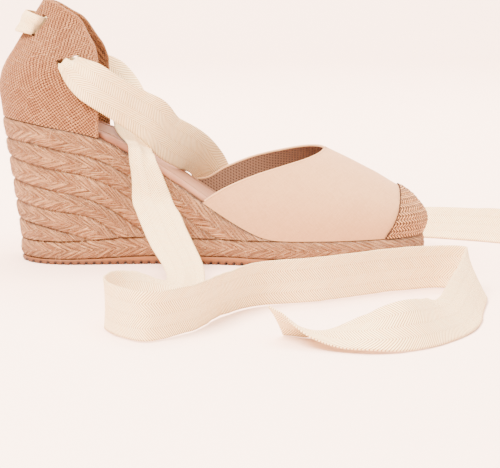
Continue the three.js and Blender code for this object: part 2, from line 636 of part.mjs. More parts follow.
const FAR_TIE = [
  { x: -80.3, y: 18, z: 112.6, wx: 0.97, wy: 0, wz: 0.24, part: 0.5 },
  { x: -80, y: 25.4, z: 113.6, wx: 0.97, wy: 0, wz: 0.24, part: 0.5 },
  { x: -78.6, y: 28.4, z: 111.8, wx: 0.93, wy: 0, wz: 0.36, part: 0.58 },
  { x: -73, y: 31.4, z: 107.5, wx: 0.76, wy: 0.05, wz: 0.64, part: 0.82 },
  { x: -61, y: 33.2, z: 100, wx: 0.42, wy: 0, wz: 0.9, part: 0.95 },
  { x: -51, y: 25, z: 90, wx: 0.5, wy: 0.2, wz: 0.8, part: 0.95 },
  { x: -47.5, y: 9, z: 78.5, wx: 0.82, wy: 0.3, wz: 0.35, part: 0.95 },
  { x: -45, y: -6.5, z: 69.6, wx: 0.88, wy: 0.2, wz: -0.25, part: 0.85 },
  { x: -41.5, y: -20, z: 65, wx: 0.87, wy: 0.1, wz: -0.48, part: 0.7 },
  { x: -40, y: -30, z: 63.6, wx: 0.9, wy: 0, wz: -0.42, part: 0.62 },
  { x: -38.6, y: -35, z: 58, wx: 0.97, wy: 0, wz: -0.25, part: 0.64 },
  { x: -36.2, y: -37.5, z: 49.6, wx: 1, wy: 0, wz: -0.05, part: 0.76 },
  { x: -33.6, y: -41, z: 38.5, wx: 0.99, wy: 0, wz: -0.12, part: 0.94 },
  { x: -29, y: -53, z: 31.2, wx: 1, wy: 0, wz: -0.05, part: 1 },
  { x: -23.2, y: -71, z: 22.4, wx: 1, wy: 0, wz: 0, part: 1 },
  { x: -13.2, y: -111, z: 12.4, wx: 0.99, wy: -0.05, wz: -0.1, part: 0.9 },
  { x: -12, y: -127, z: 9.2, wx: 0.95, wy: -0.1, wz: -0.25, part: 0.85 },
  { x: -14.5, y: -142, z: 7, wx: 0.85, wy: -0.2, wz: -0.45, part: 0.85 },
  { x: -33, y: -164, z: 8.8, wx: 0.3, wy: -0.4, wz: -0.85, part: 1 },
  { x: -43, y: -175, z: 11.5, wx: 0.05, wy: -0.15, wz: -0.98, part: 1 },
  { x: -47, y: -190, z: 12.1, wx: 0, wy: 0, wz: -1, part: 1 },
  { x: -44.5, y: -206, z: 12.1, wx: 0, wy: 0, wz: -1, part: 1 },
  { x: -37, y: -219.5, z: 12.1, wx: 0, wy: 0, wz: -1, part: 1 },
  { x: -26, y: -229, z: 12.1, wx: 0, wy: 0.05, wz: -1, part: 1 },
  { x: -6.4, y: -210.5, z: 12.1, wx: 0, wy: 0.3, wz: -0.95, part: 1 },
  { x: 8.5, y: -175.5, z: 12.1, wx: -0.1, wy: 0.35, wz: -0.93, part: 1 },
  { x: 23, y: -153, z: 12.1, wx: 0, wy: 0.25, wz: -0.96, part: 1 },
  { x: 56.7, y: -136.8, z: 12.1, wx: 0, wy: 0.1, wz: -1, part: 1 },
  { x: 91.9, y: -113, z: 12.1, wx: 0, wy: 0.1, wz: -1, part: 1 },
  { x: 119, y: -102.5, z: 12.1, wx: 0, wy: 0.1, wz: -1, part: 1 },
  { x: 132, y: -108, z: 12, wx: 0.25, wy: -0.2, wz: -0.93, part: 1 },
  { x: 133, y: -126, z: 11, wx: 0.45, wy: -0.35, wz: -0.82, part: 1 },
  { x: 125.5, y: -160, z: 9, wx: 0.7, wy: 0, wz: -0.7, part: 1 },
  { x: 116.5, y: -196, z: 7, wx: 0.85, wy: 0.17, wz: -0.5, part: 1 },
  { x: 105, y: -222, z: 9, wx: 0.7, wy: 0.05, wz: -0.75, part: 1 },
  { x: 91, y: -240, z: 10.8, wx: 0.35, wy: -0.3, wz: -0.9, part: 1 },
  { x: 74, y: -243, z: 8.5, wx: 0.05, wy: -0.8, wz: -0.55, part: 1 },
  { x: 56, y: -236, z: 6, wx: 0, wy: -1, wz: -0.1, part: 1 },
  { x: 43, y: -228, z: 6, wx: -0.1, wy: -0.9, wz: 0.4, part: 1 },
  { x: 32, y: -220, z: 8.4, wx: -0.35, wy: -0.6, wz: 0.72, part: 1 },
];
// Loop at the back by offset from its slots, across as a share of the heel width
const LOOP = [
  { dx: 0.9, across: 0.042, dz: -1.1, wx: 0.6, wy: 0, wz: 0.8, part: 0.48 },
  { dx: 0.3, across: 0.105, dz: -0.5, wx: 0.6, wy: 0, wz: 0.8, part: 0.48 },
  { dx: -0.3, across: 0.177, dz: -0.1, wx: 0.6, wy: 0, wz: 0.8, part: 0.48 },
  { dx: -2.1, across: 0.226, dz: 0.5, wx: 0.58, wy: 0, wz: 0.8, part: 0.5 },
  { dx: -6.5, across: 0.2, dz: 1.7, wx: 0.5, wy: 0.1, wz: 0.83, part: 0.55 },
  { dx: -10.1, across: 0.113, dz: 2.5, wx: 0.45, wy: 0.1, wz: 0.85, part: 0.58 },
  { dx: -11.3, across: 0, dz: 2.7, wx: 0.42, wy: 0, wz: 0.87, part: 0.58 },
];

// Outer half of the loop mirrored to the inner side
function loopRoute() {
  const row = (r, side) => ({
    x: BACK_SLOT.x + r.dx, y: -side * HEEL_WIDTH * r.across, z: BACK_SLOT.z + r.dz,
    wx: r.wx, wy: side * r.wy, wz: r.wz, part: r.part,
  });
  const outer = LOOP.map((r) => row(r, 1));
  const inner = LOOP.slice(0, -1).map((r) => row(r, -1));
  return [...outer, ...inner.reverse()];
}

// Flat ribbon along a route; where it would dip below the floor it is laid on it
function ribbon(route, perRow) {
  const middle = new THREE.CatmullRomCurve3(
    route.map((r) => new THREE.Vector3(r.x, r.y, r.z)), false, "centripetal");
  const count = route.length - 1;
  const rings = steps(0, 1, Math.min(79, count * perRow)).map((t) => {
    const point = middle.getPoint(t);
    const heading = middle.getTangent(t);
    const i = Math.min(count - 1, Math.floor(t * count));
    const share = smooth(0, 1, t * count - i);
    const at = (key) => mix(route[i][key], route[i + 1][key], share);
    const wide = new THREE.Vector3(at("wx"), at("wy"), at("wz"));
    wide.addScaledVector(heading, -wide.dot(heading)).normalize();
    const face = new THREE.Vector3().crossVectors(heading, wide).normalize();
    wide.multiplyScalar((RIBBON_WIDTH * at("part")) / 2);
    face.multiplyScalar(RIBBON_THICK / 2);
    const low = point.z - Math.abs(wide.z) - Math.abs(face.z);
    if (low < FLOOR_GAP) point.z += FLOOR_GAP - low;
    return [[1, 1], [-1, 1], [-1, -1], [1, -1]].map(([s, u]) => {
      const corner = point.clone().addScaledVector(wide, s).addScaledVector(face, u);
      return corner.toArray();
    });
  });
  return loft(rings);
}

const shoe = new THREE.Group();
shoe.name = "espadrille";
const box = new THREE.Box3();

function add(name, form, free = false) {
  const mesh = form.getMesh();
  const geometry = new THREE.BufferGeometry();
  const flat = [];
  for (let i = 0; i < mesh.triVerts.length; i += 1) {
    const v = mesh.triVerts[i] * mesh.numProp;
    flat.push(mesh.vertProperties[v], mesh.vertProperties[v + 1], mesh.vertProperties[v + 2]);
  }
  geometry.setAttribute("position", new THREE.Float32BufferAttribute(flat, 3));
  geometry.computeVertexNormals();
  geometry.computeBoundingBox();
  if (!free) box.union(geometry.boundingBox);
  const look = MATERIALS[name];
  const material = new THREE.MeshStandardMaterial({
    color: look.color, roughness: look.roughness, metalness: 0, name,
  });
  const node = new THREE.Mesh(geometry, material);
  node.name = name;
  shoe.add(node);
}

add("outsole", makeOutsole());
add("base_braid", makeBaseBraid());
add("wedge", makeWedge());
add("insole", makeInsole());
add("vamp", makeVamp());
add("toe_cap", makeToeCap());
add("heel_counter", makeCounter());
add("heel_loop", ribbon(loopRoute(), 2));
add("tie_near", ribbon(NEAR_TIE, 2), true);
add("tie_far", ribbon(FAR_TIE, 2), true);

// The origin lies on the floor under the middle of the shoe, the free ribbons left aside
shoe.position.set(-(box.min.x + box.max.x) / 2, -(box.min.y + box.max.y) / 2, 0);

export default shoe;
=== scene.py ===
"""Looks of a wedge espadrille: braided jute, burlap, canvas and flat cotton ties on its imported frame."""

import math
import random

import bmesh
import bpy
import numpy as np
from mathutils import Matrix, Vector


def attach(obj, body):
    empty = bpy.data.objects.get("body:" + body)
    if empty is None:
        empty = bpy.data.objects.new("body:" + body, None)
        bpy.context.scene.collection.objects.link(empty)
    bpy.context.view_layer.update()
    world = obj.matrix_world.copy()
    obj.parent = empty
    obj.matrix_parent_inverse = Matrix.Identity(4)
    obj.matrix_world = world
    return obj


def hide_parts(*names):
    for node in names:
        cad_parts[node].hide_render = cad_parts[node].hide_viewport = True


bl_info = {
    "name": "Wedge espadrille",
    "version": (1, 0, 0),
    "blender": (4, 5, 0),
    "location": "3D View > Sidebar > Espadrille",
    "description": "Builds a wedge espadrille with jute braids, burlap, canvas and ribbon ties",
    "category": "Object",
}

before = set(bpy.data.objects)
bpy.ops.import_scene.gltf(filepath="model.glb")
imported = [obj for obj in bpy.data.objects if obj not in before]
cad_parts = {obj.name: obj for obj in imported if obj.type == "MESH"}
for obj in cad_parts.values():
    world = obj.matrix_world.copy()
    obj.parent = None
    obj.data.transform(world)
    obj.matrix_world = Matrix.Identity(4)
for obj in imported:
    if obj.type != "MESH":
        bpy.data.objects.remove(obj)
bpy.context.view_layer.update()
BODY = "root"
MM = 0.001
# Where the sole's own drawing origin lies in the row frame, in metres
DRAWN_AT = Vector((-0.000594, -0.002989, 0.0))

# Main sizes of the shoe in millimetres
SOLE_LENGTH = 232.0
TOE_X = 121.0
HEEL_X = TOE_X - SOLE_LENGTH
BALL_WIDTH = 79.0
HEEL_WIDTH = 62.0
PLATFORM = 14.2
SEAT_HEIGHT = 82.5
BACK_LEAN = 9.4
INSTEP_HEIGHT = 63.0
BACK_TOP = 146.5
GAP = 0.3
OUTSOLE_THICK = 4.4
OUTSOLE_INSET = 0.7
RIB_PITCH = 4.35
RIB_DEPTH = 1.1
BRAID_BULGE = 1.4
COURSE_HEIGHT = 11.3
COURSE_BULGE = 1.0
COURSES = 8
# How deep the roots of the strands lie under the skin of the solid braid
STRAND_ROOT = 0.6
WEDGE_INSET = 0.2
INSOLE_THICK = 4.0
UPPER_WALL = 1.5
FEATHER_INSET = 1.6
SIDE_FULLNESS = 2.35
TOE_FULLNESS = 3.8
SIDE_SWELL = 1.4
TOE_SWELL = 2.6
CAP_PROUD = 0.8
CAP_SEAM_BACK = 9.6
CAP_SEAM_BOW = 2.2
CAP_SEAM_X = TOE_X - 14.8
COUNTER_WALL = 2.0
COUNTER_INSET = 2.0
COUNTER_FRONT_X = HEEL_X + 46.5
PANEL_LENGTH = 33.5
INNER_LONGER = 2.0
POLE_X = TOE_X - 33.0
VAMP_BACK_X = HEEL_X + 0.366 * SOLE_LENGTH
VAMP_CLOSED_X = HEEL_X + 0.79 * SOLE_LENGTH
RIBBON_WIDTH = 22.6
RIBBON_THICK = 0.8
FLOOR_GAP = 0.3
# Slots of the back panel: middle along and up, tilt in degrees; the side slots, then the back slots
SLOTS = ((COUNTER_FRONT_X - 15.5, SEAT_HEIGHT + 31.1, 14), (COUNTER_FRONT_X - 33, BACK_TOP - 14, 53))
SLOT_LONG = 13.0
SLOT_HIGH = 3.2
YARN_PITCH = 1.35
# How the weaves lie turned on their pieces, in degrees
CANVAS_TURN = 45
BURLAP_TURN = -32
HEM_TURN = 20
PINHOLE_COLUMN = 1.65
PINHOLE_ROW = 1.75
TOPLINE_ROLL = 0.95
PANEL_ROLL = 1.3
# A level under the lowest point of the back panel
PANEL_LOW = 60.0
# A point inside the back panel, and the middle of the soft dents round its side slots, along and up
PANEL_INSIDE = (-85.0, 0, 105.0)
DENT_AT = (-80.0, 112.0)
# Loose fibres: the share of them on each piece, least and greatest length and radius
HAIRY = (("wedge_braid", 0.5), ("bottom_braid", 0.32), ("burlap_panel", 0.18))
HAIR_LENGTH = (2.0, 6.0)
HAIR_RADIUS = (0.05, 0.09)
HAIR_CLEAR = 0.2
# Points this near, in metres, become one
SAME_PLACE = 2e-6
# Camera: where it stands in metres, how far it looks down in degrees, lens as a share of the picture
EYE = Vector((0.0204, -0.9667, 0.1658))
LOOK_DOWN = 8.99
FOCAL_SHARE = 3.4
# Lamps: name, place in metres, size, power, what it aims at
LAMPS = (
    ("key", (-0.9, -1.2, 1.9), 1.2, 300.0, (0, 0, 0.04)),
    ("fill", (1.4, -1.5, 1.1), 1.8, 50.0, (0, 0, 0.04)),
    ("top", (0.1, 0.3, 2.2), 2.2, 100.0, (0, 0, 0.04)),
    ("backdrop light", (0.0, 0.9, 2.0), 1.6, 190.0, (0.0, 2.6, 0.5)),
)
LAMP_COLOUR = (1.0, 0.865, 0.75)
SKY_COLOUR = (1.0, 0.88, 0.78, 1.0)
SKY_STRENGTH = 2.2
# Floor of the stage in metres: front, where it starts to sweep up, radius, height, half width
FLOOR_FRONT, FLOOR_BACK, SWEEP, WALL_HIGH, FLOOR_HALF = -3.0, 2.0, 0.8, 4.0, 4.0
# Painted shadow round the shoe, darker and warmer than the floor: how far back its middle lies, half its
# length and its depth, its tint
SHADOW_BACK, SHADOW_LONG, SHADOW_DEEP = -0.03, 0.19, 0.15
SHADOW_TINT = (0.92, 0.83, 0.78)


class Table:
    """Rows with named columns; value() reads a column smoothly and without overshoot."""

    def __init__(self, columns, rows):
        self.names = columns.split()
        self.rows = np.array(rows, float)
        self.key = self.rows[:, 0]

    def value(self, column, at):
        key, values = self.key, self.rows[:, self.names.index(column)]
        at = np.clip(np.asarray(at, float), key[0], key[-1])
        step = np.diff(key)
        slope = np.diff(values) / step
        tangent = np.empty_like(values)
        tangent[0], tangent[-1] = slope[0], slope[-1]
        before, after = slope[:-1], slope[1:]
        total = np.where(before * after > 0, before + after, 1.0)
        tangent[1:-1] = np.where(before * after > 0, 2 * before * after / total, 0.0)
        i = np.clip(np.searchsorted(key, at, side="right") - 1, 0, len(key) - 2)
        t = (at - key[i]) / step[i]
        rise = tangent[i] * step[i] * (t**3 - 2 * t**2 + t) + tangent[i + 1] * step[i] * (t**3 - t**2)
        return values[i] * (2 * t**3 - 3 * t**2 + 1) + values[i + 1] * (3 * t**2 - 2 * t**3) + rise


# Plan of the sole by share of its length, halves as shares of the foot's width there
PLAN = Table("at outer inner centre", [
    (0.0, 0.5, 0.5, 0), (0.134, 0.5, 0.497, 0), (0.263, 0.465, 0.44, 0), (0.392, 0.416, 0.378, 0),
    (0.478, 0.409, 0.381, 0), (0.586, 0.452, 0.455, 0.004), (0.672, 0.476, 0.515, 0.01),
    (0.759, 0.476, 0.524, 0.02), (0.845, 0.468, 0.505, 0.033), (1.0, 0.445, 0.48, 0.05),
])
# Shares of the outsole, the platform and the seat height along the shoe
HEIGHTS = Table("at sole braid seat", [
    (-0.047, 0.6, 0.88, 1.0), (0.004, 0.6, 0.89, 0.99), (0.047, 0.62, 0.92, 0.973),
    (0.138, 0.66, 0.96, 0.914), (0.194, 0.74, 1.0, 0.873), (0.228, 0.82, 1.05, 0.832),
    (0.28, 0.93, 1.1, 0.744), (0.328, 1.0, 1.11, 0.661), (0.384, 1.0, 1.08, 0.555),
    (0.448, 1.0, 1.05, 0.427), (0.517, 1.0, 1.03, 0.3), (0.556, 0.95, 1.02, 0.238),
    (0.595, 0.88, 1.01, 0.19), (0.625, 0.83, 0.99, 0.172), (0.677, 0.8, 0.97, 0.1665),
    (1.02, 0.8, 0.97, 0.1665),
])
# Top of the last and the topline on both sides, shares of the instep height
INSTEP = Table("at ridge across outer inner", [
    (0.366, 1.9, 0.03, 0.5, 0.72), (0.401, 1.82, 0.03, 0.5, 0.67), (0.435, 1.74, 0.03, 0.5, 0.663),
    (0.453, 1.7, 0.03, 0.553, 0.67), (0.504, 1.57, 0.035, 0.678, 0.765),
    (0.578, 1.4, 0.04, 0.798, 0.866), (0.651, 1.22, 0.045, 0.878, 0.93),
    (0.707, 1.095, 0.05, 0.932, 0.973), (0.754, 0.997, 0.05, 0.99, 1.0),
    (0.81, 0.897, 0.05, 1.2, 1.2), (0.871, 0.781, 0.05, 1.6, 1.6), (0.935, 0.658, 0.05, 1.9, 1.9),
    (1.03, 0.56, 0.05, 2.2, 2.2),
])
# Back panel by share of its height over the seat
BACK = Table("up lean half close round", [
    (-0.227, 0.787, 0.475, 0.0, 0.49), (-0.008, 0.915, 0.475, 0.0, 0.49),
    (0.117, 1.021, 0.468, 0.01, 0.48), (0.242, 1.117, 0.458, 0.02, 0.47),
    (0.352, 1.011, 0.44, 0.04, 0.46), (0.461, 0.723, 0.41, 0.08, 0.44),
    (0.57, 0.255, 0.355, 0.18, 0.41), (0.68, -0.213, 0.29, 0.28, 0.36),
    (0.836, -0.872, 0.195, 0.42, 0.28), (1.039, -1.755, 0.115, 0.5, 0.2),
])
# Free edge of the back panel: how far it lies back at each share of the height
PANEL_EDGE = Table("up back", [
    (-0.3, 0.0), (0.461, 0.0), (0.578, 0.045), (0.695, 0.164), (0.836, 0.328), (0.902, 0.522),
    (0.977, 0.761), (1.0, 0.925),
])
# Ribbon routes in metres: middle of each row, the way its width points, the share of its width
NEAR_TIE = [
    (-0.0803, -0.018, 0.1126, 0.97, 0, 0.24, 0.5),
    (-0.0802, -0.0214, 0.1134, 0.97, 0, 0.24, 0.5),
    (-0.08, -0.0254, 0.1136, 0.97, 0, 0.24, 0.5),
    (-0.079, -0.0282, 0.1116, 0.93, 0, 0.36, 0.58),
    (-0.074, -0.0296, 0.107, 0.76, 0, 0.64, 0.82),
    (-0.066, -0.0316, 0.1015, 0.45, 0.02, 0.89, 1),
    (-0.0545, -0.0275, 0.0936, 0.33, 0.05, 0.94, 1),
    (-0.0435, -0.02, 0.0862, 0.33, 0.06, 0.94, 1.05),
    (-0.0338, -0.013, 0.0794, 0.34, 0.15, 0.92, 1.14),
    (-0.026, -0.003, 0.0692, 0.42, 0.4, 0.8, 1.16),
    (-0.0175, 0.0095, 0.0626, 0.54, 0.5, 0.68, 1.16),
    (-0.011, 0.0205, 0.0574, 0.74, 0.42, 0.5, 1.08),
    (-0.0055, 0.0295, 0.051, 0.9, 0.28, 0.3, 1),
    (-0.001, 0.0365, 0.041, 0.98, 0.1, 0.1, 1),
    (0.0035, 0.041, 0.029, 1, 0, 0, 1),
    (0.006, 0.0455, 0.014, 1, -0.05, 0, 1),
    (0.011, 0.0525, 0.004, 0.9, -0.35, -0.1, 1),
    (0.022, 0.061, 0.0045, 0.6, -0.65, -0.4, 1),
    (0.038, 0.068, 0.007, 0.25, -0.75, -0.6, 1),
    (0.058, 0.0725, 0.0086, 0.05, -0.7, -0.7, 1),
    (0.085, 0.0755, 0.0088, 0, -0.7, -0.7, 1),
    (0.11, 0.076, 0.0088, 0, -0.7, -0.7, 1),
    (0.13, 0.073, 0.0088, 0, -0.7, -0.7, 1),
    (0.156, 0.061, 0.009, 0, -0.67, -0.73, 1),
    (0.172, 0.0515, 0.0094, 0, -0.62, -0.77, 1),
    (0.192, 0.043, 0.0094, 0, -0.6, -0.78, 1),
    (0.218, 0.04, 0.0094, 0, -0.6, -0.78, 1),
    (0.244, 0.047, 0.0092, 0, -0.6, -0.78, 1),
    (0.264, 0.065, 0.009, 0.3, -0.6, -0.7, 1),
    (0.274, 0.09, 0.0088, 0.6, -0.3, -0.7, 1),
    (0.276, 0.118, 0.0088, 0.7, 0, -0.7, 1),
]
FAR_TIE = [
    (-0.0803, 0.018, 0.1126, 0.97, 0, 0.24, 0.5),
    (-0.08, 0.0254, 0.1136, 0.97, 0, 0.24, 0.5),
    (-0.0786, 0.0284, 0.1118, 0.93, 0, 0.36, 0.58),
    (-0.073, 0.0314, 0.1075, 0.76, 0.05, 0.64, 0.82),
    (-0.061, 0.0332, 0.1, 0.42, 0, 0.9, 1.06),
    (-0.051, 0.025, 0.09, 0.5, 0.2, 0.8, 0.95),
    (-0.0475, 0.009, 0.0785, 0.82, 0.3, 0.35, 0.95),
    (-0.045, -0.0065, 0.0696, 0.88, 0.2, -0.25, 0.85),
    (-0.0415, -0.02, 0.065, 0.87, 0.1, -0.48, 0.7),
    (-0.04, -0.03, 0.0636, 0.9, 0, -0.42, 0.62),
    (-0.0386, -0.035, 0.058, 0.97, 0, -0.25, 0.64),
    (-0.0362, -0.0375, 0.0496, 1, 0, -0.05, 0.76),
    (-0.0336, -0.041, 0.0385, 0.99, 0, -0.12, 0.94),
    (-0.029, -0.053, 0.0312, 1, 0, -0.05, 1),
    (-0.0232, -0.071, 0.0224, 1, 0, 0, 1),
    (-0.0132, -0.111, 0.0124, 0.99, -0.05, -0.1, 0.9),
    (-0.012, -0.127, 0.0092, 0.95, -0.1, -0.25, 0.85),
    (-0.0145, -0.142, 0.007, 0.85, -0.2, -0.45, 0.85),
    (-0.033, -0.164, 0.0088, 0.3, -0.4, -0.85, 1),
    (-0.043, -0.175, 0.0115, 0.05, -0.15, -0.98, 1),
    (-0.047, -0.19, 0.0121, 0, 0, -1, 1),
    (-0.0445, -0.206, 0.0121, 0, 0, -1, 1),
    (-0.037, -0.2195, 0.0121, 0, 0, -1, 1),
    (-0.026, -0.229, 0.0121, 0, 0.05, -1, 1),
    (-0.0064, -0.2105, 0.0121, 0, 0.3, -0.95, 1),
    (0.0085, -0.1755, 0.0121, -0.1, 0.35, -0.93, 1),
    (0.023, -0.153, 0.0121, 0, 0.25, -0.96, 1),
    (0.0567, -0.1368, 0.0121, 0, 0.1, -1, 1),
    (0.0919, -0.113, 0.0121, 0, 0.1, -1, 1),
    (0.119, -0.1025, 0.0121, 0, 0.1, -1, 1),
    (0.132, -0.108, 0.012, 0.25, -0.2, -0.93, 1),
    (0.133, -0.126, 0.011, 0.45, -0.35, -0.82, 1),
    (0.1255, -0.16, 0.009, 0.7, 0, -0.7, 1),
    (0.1165, -0.196, 0.007, 0.85, 0.17, -0.5, 1),
    (0.105, -0.222, 0.009, 0.7, 0.05, -0.75, 1),
    (0.091, -0.24, 0.0108, 0.35, -0.3, -0.9, 1),
    (0.074, -0.243, 0.0085, 0.05, -0.8, -0.55, 1),
    (0.056, -0.236, 0.006, 0, -1, -0.1, 1),
    (0.043, -0.228, 0.006, -0.1, -0.9, 0.4, 1),
    (0.032, -0.22, 0.0084, -0.35, -0.6, 0.72, 1),
]
# Outer half of the heel loop in metres, mirrored to the inner side
HEEL_LOOP = [
    (-0.0966, -0.0026, 0.1314, 0.6, 0, 0.8, 0.48),
    (-0.0972, -0.0065, 0.132, 0.6, 0, 0.8, 0.48),
    (-0.0978, -0.011, 0.1324, 0.6, 0, 0.8, 0.48),
    (-0.0996, -0.014, 0.133, 0.58, 0, 0.8, 0.5),
    (-0.104, -0.0124, 0.1342, 0.5, 0.1, 0.83, 0.55),
    (-0.1076, -0.007, 0.135, 0.45, 0.1, 0.85, 0.58),
    (-0.1088, 0.0, 0.1352, 0.42, 0, 0.87, 0.58),
]


def smooth(a, b, x):
    t = np.clip((np.asarray(x, float) - a) / (b - a), 0, 1)
    return t * t * (3 - 2 * t)


def mix(a, b, t):
    return a + (b - a) * t


def along(share):
    return HEEL_X + SOLE_LENGTH * share


def share_at(x):
    return (np.asarray(x, float) - HEEL_X) / SOLE_LENGTH


def sole_top(x):
    return OUTSOLE_THICK * HEIGHTS.value("sole", share_at(x))


def braid_foot(x):
    return sole_top(x) + GAP * 0.5


def braid_top(x):
    return PLATFORM * HEIGHTS.value("braid", share_at(x))


def seat_edge(x):
    return SEAT_HEIGHT * HEIGHTS.value("seat", share_at(x))


def ridge_top(x):
    return INSTEP_HEIGHT * INSTEP.value("ridge", share_at(x))


def ridge_across(x):
    return BALL_WIDTH * INSTEP.value("across", share_at(x))


def centre_line(x):
    return BALL_WIDTH * PLAN.value("centre", share_at(x))


def half_width(x, side, inset):
    """Half width of the sole on one side, rounded off at both ends."""
    at = share_at(x)
    foot = mix(HEEL_WIDTH, BALL_WIDTH, smooth(0.263, 0.586, at))
    wide = foot * PLAN.value(side, at) - inset
    from_heel = np.clip(1 - (x - HEEL_X - inset) / (0.135 * SOLE_LENGTH), 0, 1)
    from_toe = np.clip(1 - (TOE_X - inset - x) / (0.27 * SOLE_LENGTH), 0, 1)
    return wide * (1 - from_heel**2.15) ** (1 / 2.15) * (1 - from_toe**2.1) ** (1 / 2.1)


def outline(turn, inset):
    """Point of the sole's outline: turn 0 is the toe, 0.5 the heel, the outer side comes first."""
    turn = np.mod(turn, 1.0)
    reach = (1 + np.cos(2 * np.pi * turn)) / 2
    x = mix(HEEL_X + inset, TOE_X - inset, reach)
    outer = -half_width(x, "outer", inset)
    inner = half_width(x, "inner", inset)
    return x, centre_line(x) + np.where(turn <= 0.5, outer, inner)


def run_along(points):
    """Length from the first point of a line to each of its points."""
    return np.concatenate([[0], np.cumsum(np.linalg.norm(np.diff(points, axis=0), axis=1))])


def skin_length(points):
    """Length from the first point of each row of a grid to every point of the row."""
    steps = np.linalg.norm(np.diff(points, axis=1), axis=2)
    return np.concatenate([np.zeros((len(points), 1)), np.cumsum(steps, 1)], 1)


def unit(vectors):
    return vectors / (np.linalg.norm(vectors, axis=-1, keepdims=True) + 1e-9)


def square_to(vectors, heading):
    """Unit vectors square to a heading, as near to the given ones as they can be."""
    return unit(vectors - heading * np.sum(vectors * heading, -1, keepdims=True))


def even_turns(first, last, inset, step):
    """Turns between two places of the outline, a step in millimetres apart, and their lengths."""
    turns = np.linspace(first, last, 6000)
    run = run_along(np.stack(outline(turns, inset), -1))
    count = int(run[-1] / step)
    lengths = np.linspace(0, run[-1], count + 1)
    return np.interp(lengths, run, turns), lengths


def lean_back(x, z):
    rise = np.maximum(0, (z - PLATFORM) / (SEAT_HEIGHT - PLATFORM))
    return -BACK_LEAN * smooth(-along(0.285), -HEEL_X, -x) * rise


def seat_below(x):
    upright = x
    for _ in range(6):
        upright = x - lean_back(upright, seat_edge(upright))
    return seat_edge(upright)


def last_point(x, side, angle, inset):
    """Skin of the last over the forefoot; angle 0 is its foot and a quarter turn its ridge."""
    tip = TOE_X - FEATHER_INSET - inset
    pole_x = np.minimum(x, POLE_X)
    pole_y = ridge_across(pole_x)
    half = half_width(x, side, FEATHER_INSET + inset)
    foot_y = centre_line(x) + (-half if side == "outer" else half)
    foot_y = np.where(x >= tip - 0.01, centre_line(x), foot_y)
    ahead = np.clip((x - POLE_X) / (tip - POLE_X), 0, 1)
    power = mix(SIDE_FULLNESS, TOE_FULLNESS, ahead**1.5)
    swell = mix(SIDE_SWELL, TOE_SWELL, ahead)
    length = np.hypot(x - pole_x, foot_y - pole_y)
    bottom = np.maximum(seat_edge(x), braid_top(x)) + GAP
    wide = np.clip(np.cos(angle), 0, 1) ** (2 / power)
    high = np.clip(np.sin(angle), 0, 1) ** (2 / power)
    swelling = swell / length * np.sin(np.pi * np.minimum(1, high / 0.75))
    share = np.where(angle > np.pi / 2 - 0.001, 0, wide + swelling)
    px = mix(pole_x, x, share)
    py = mix(pole_y, foot_y, share)
    return px, py, mix(bottom, ridge_top(px) - inset, high)


def topline(x, y):
    """Height of the upper's open edge over a point of the plan."""
    outer = INSTEP_HEIGHT * INSTEP.value("outer", share_at(x))
    inner = INSTEP_HEIGHT * INSTEP.value("inner", share_at(x))
    return mix(outer, inner, np.clip(y / (BALL_WIDTH / 2) + 0.5, 0, 1))


def cap_seam(z):
    """Where the toe cap starts at a height: the seam runs back as it comes down the sides."""
    high = ridge_top(CAP_SEAM_X)
    return CAP_SEAM_X - CAP_SEAM_BACK * np.clip((high - z) / (high - PLATFORM), 0, 1) ** CAP_SEAM_BOW


def panel_ring(z, shares, inset):
    """Level ring of the back panel: share -1 is its outer free edge, 0 the back, 1 the inner edge."""
    up = (z - SEAT_HEIGHT) / (BACK_TOP - SEAT_HEIGHT)
    back = HEEL_X - BACK_LEAN * float(BACK.value("lean", up)) + inset
    half = HEEL_WIDTH * float(BACK.value("half", up)) - inset
    close = float(BACK.value("close", up))
    curve = HEEL_WIDTH * float(BACK.value("round", up))
    front_x = COUNTER_FRONT_X + 12
    edge_back = float(PANEL_EDGE.value("back", up))
    edge_x = COUNTER_FRONT_X - PANEL_LENGTH * edge_back
    inner_x = edge_x + INNER_LONGER * (1 - edge_back) ** 2
    angle = np.linspace(0, np.pi / 2, 60)
    round_x = back + curve * (1 - np.cos(angle) ** 0.93)
    round_y = half * np.sin(angle) ** 0.93
    run_x = np.linspace(back + curve, front_x, 20)[1:]
    run_y = half * (1 - close * smooth(back + curve - 6, front_x, run_x))
    x = np.concatenate([round_x, run_x])
    y = np.concatenate([round_y, run_y])
    length = run_along(np.stack([x, y], -1))
    ends = np.interp(np.maximum([edge_x, inner_x], back + 0.6), x, length)
    end = np.where(shares < 0, ends[0], ends[1])
    at = np.abs(shares) * end
    return np.interp(at, length, x), np.sign(shares) * np.interp(at, length, y), end


def murmur(x, y, seed=0):
    """Smooth random field, 0 to 1, that is the same in every run."""
    left, low = np.floor(x), np.floor(y)
    fx, fy = x - left, y - low
    fx, fy = fx * fx * (3 - 2 * fx), fy * fy * (3 - 2 * fy)

    def luck(i, j):
        return np.mod(np.sin(i * 127.1 + j * 311.7 + seed * 74.7) * 43758.5453, 1.0)

    bottom = mix(luck(left, low), luck(left + 1, low), fx)
    return mix(bottom, mix(luck(left, low + 1), luck(left + 1, low + 1), fx), fy)


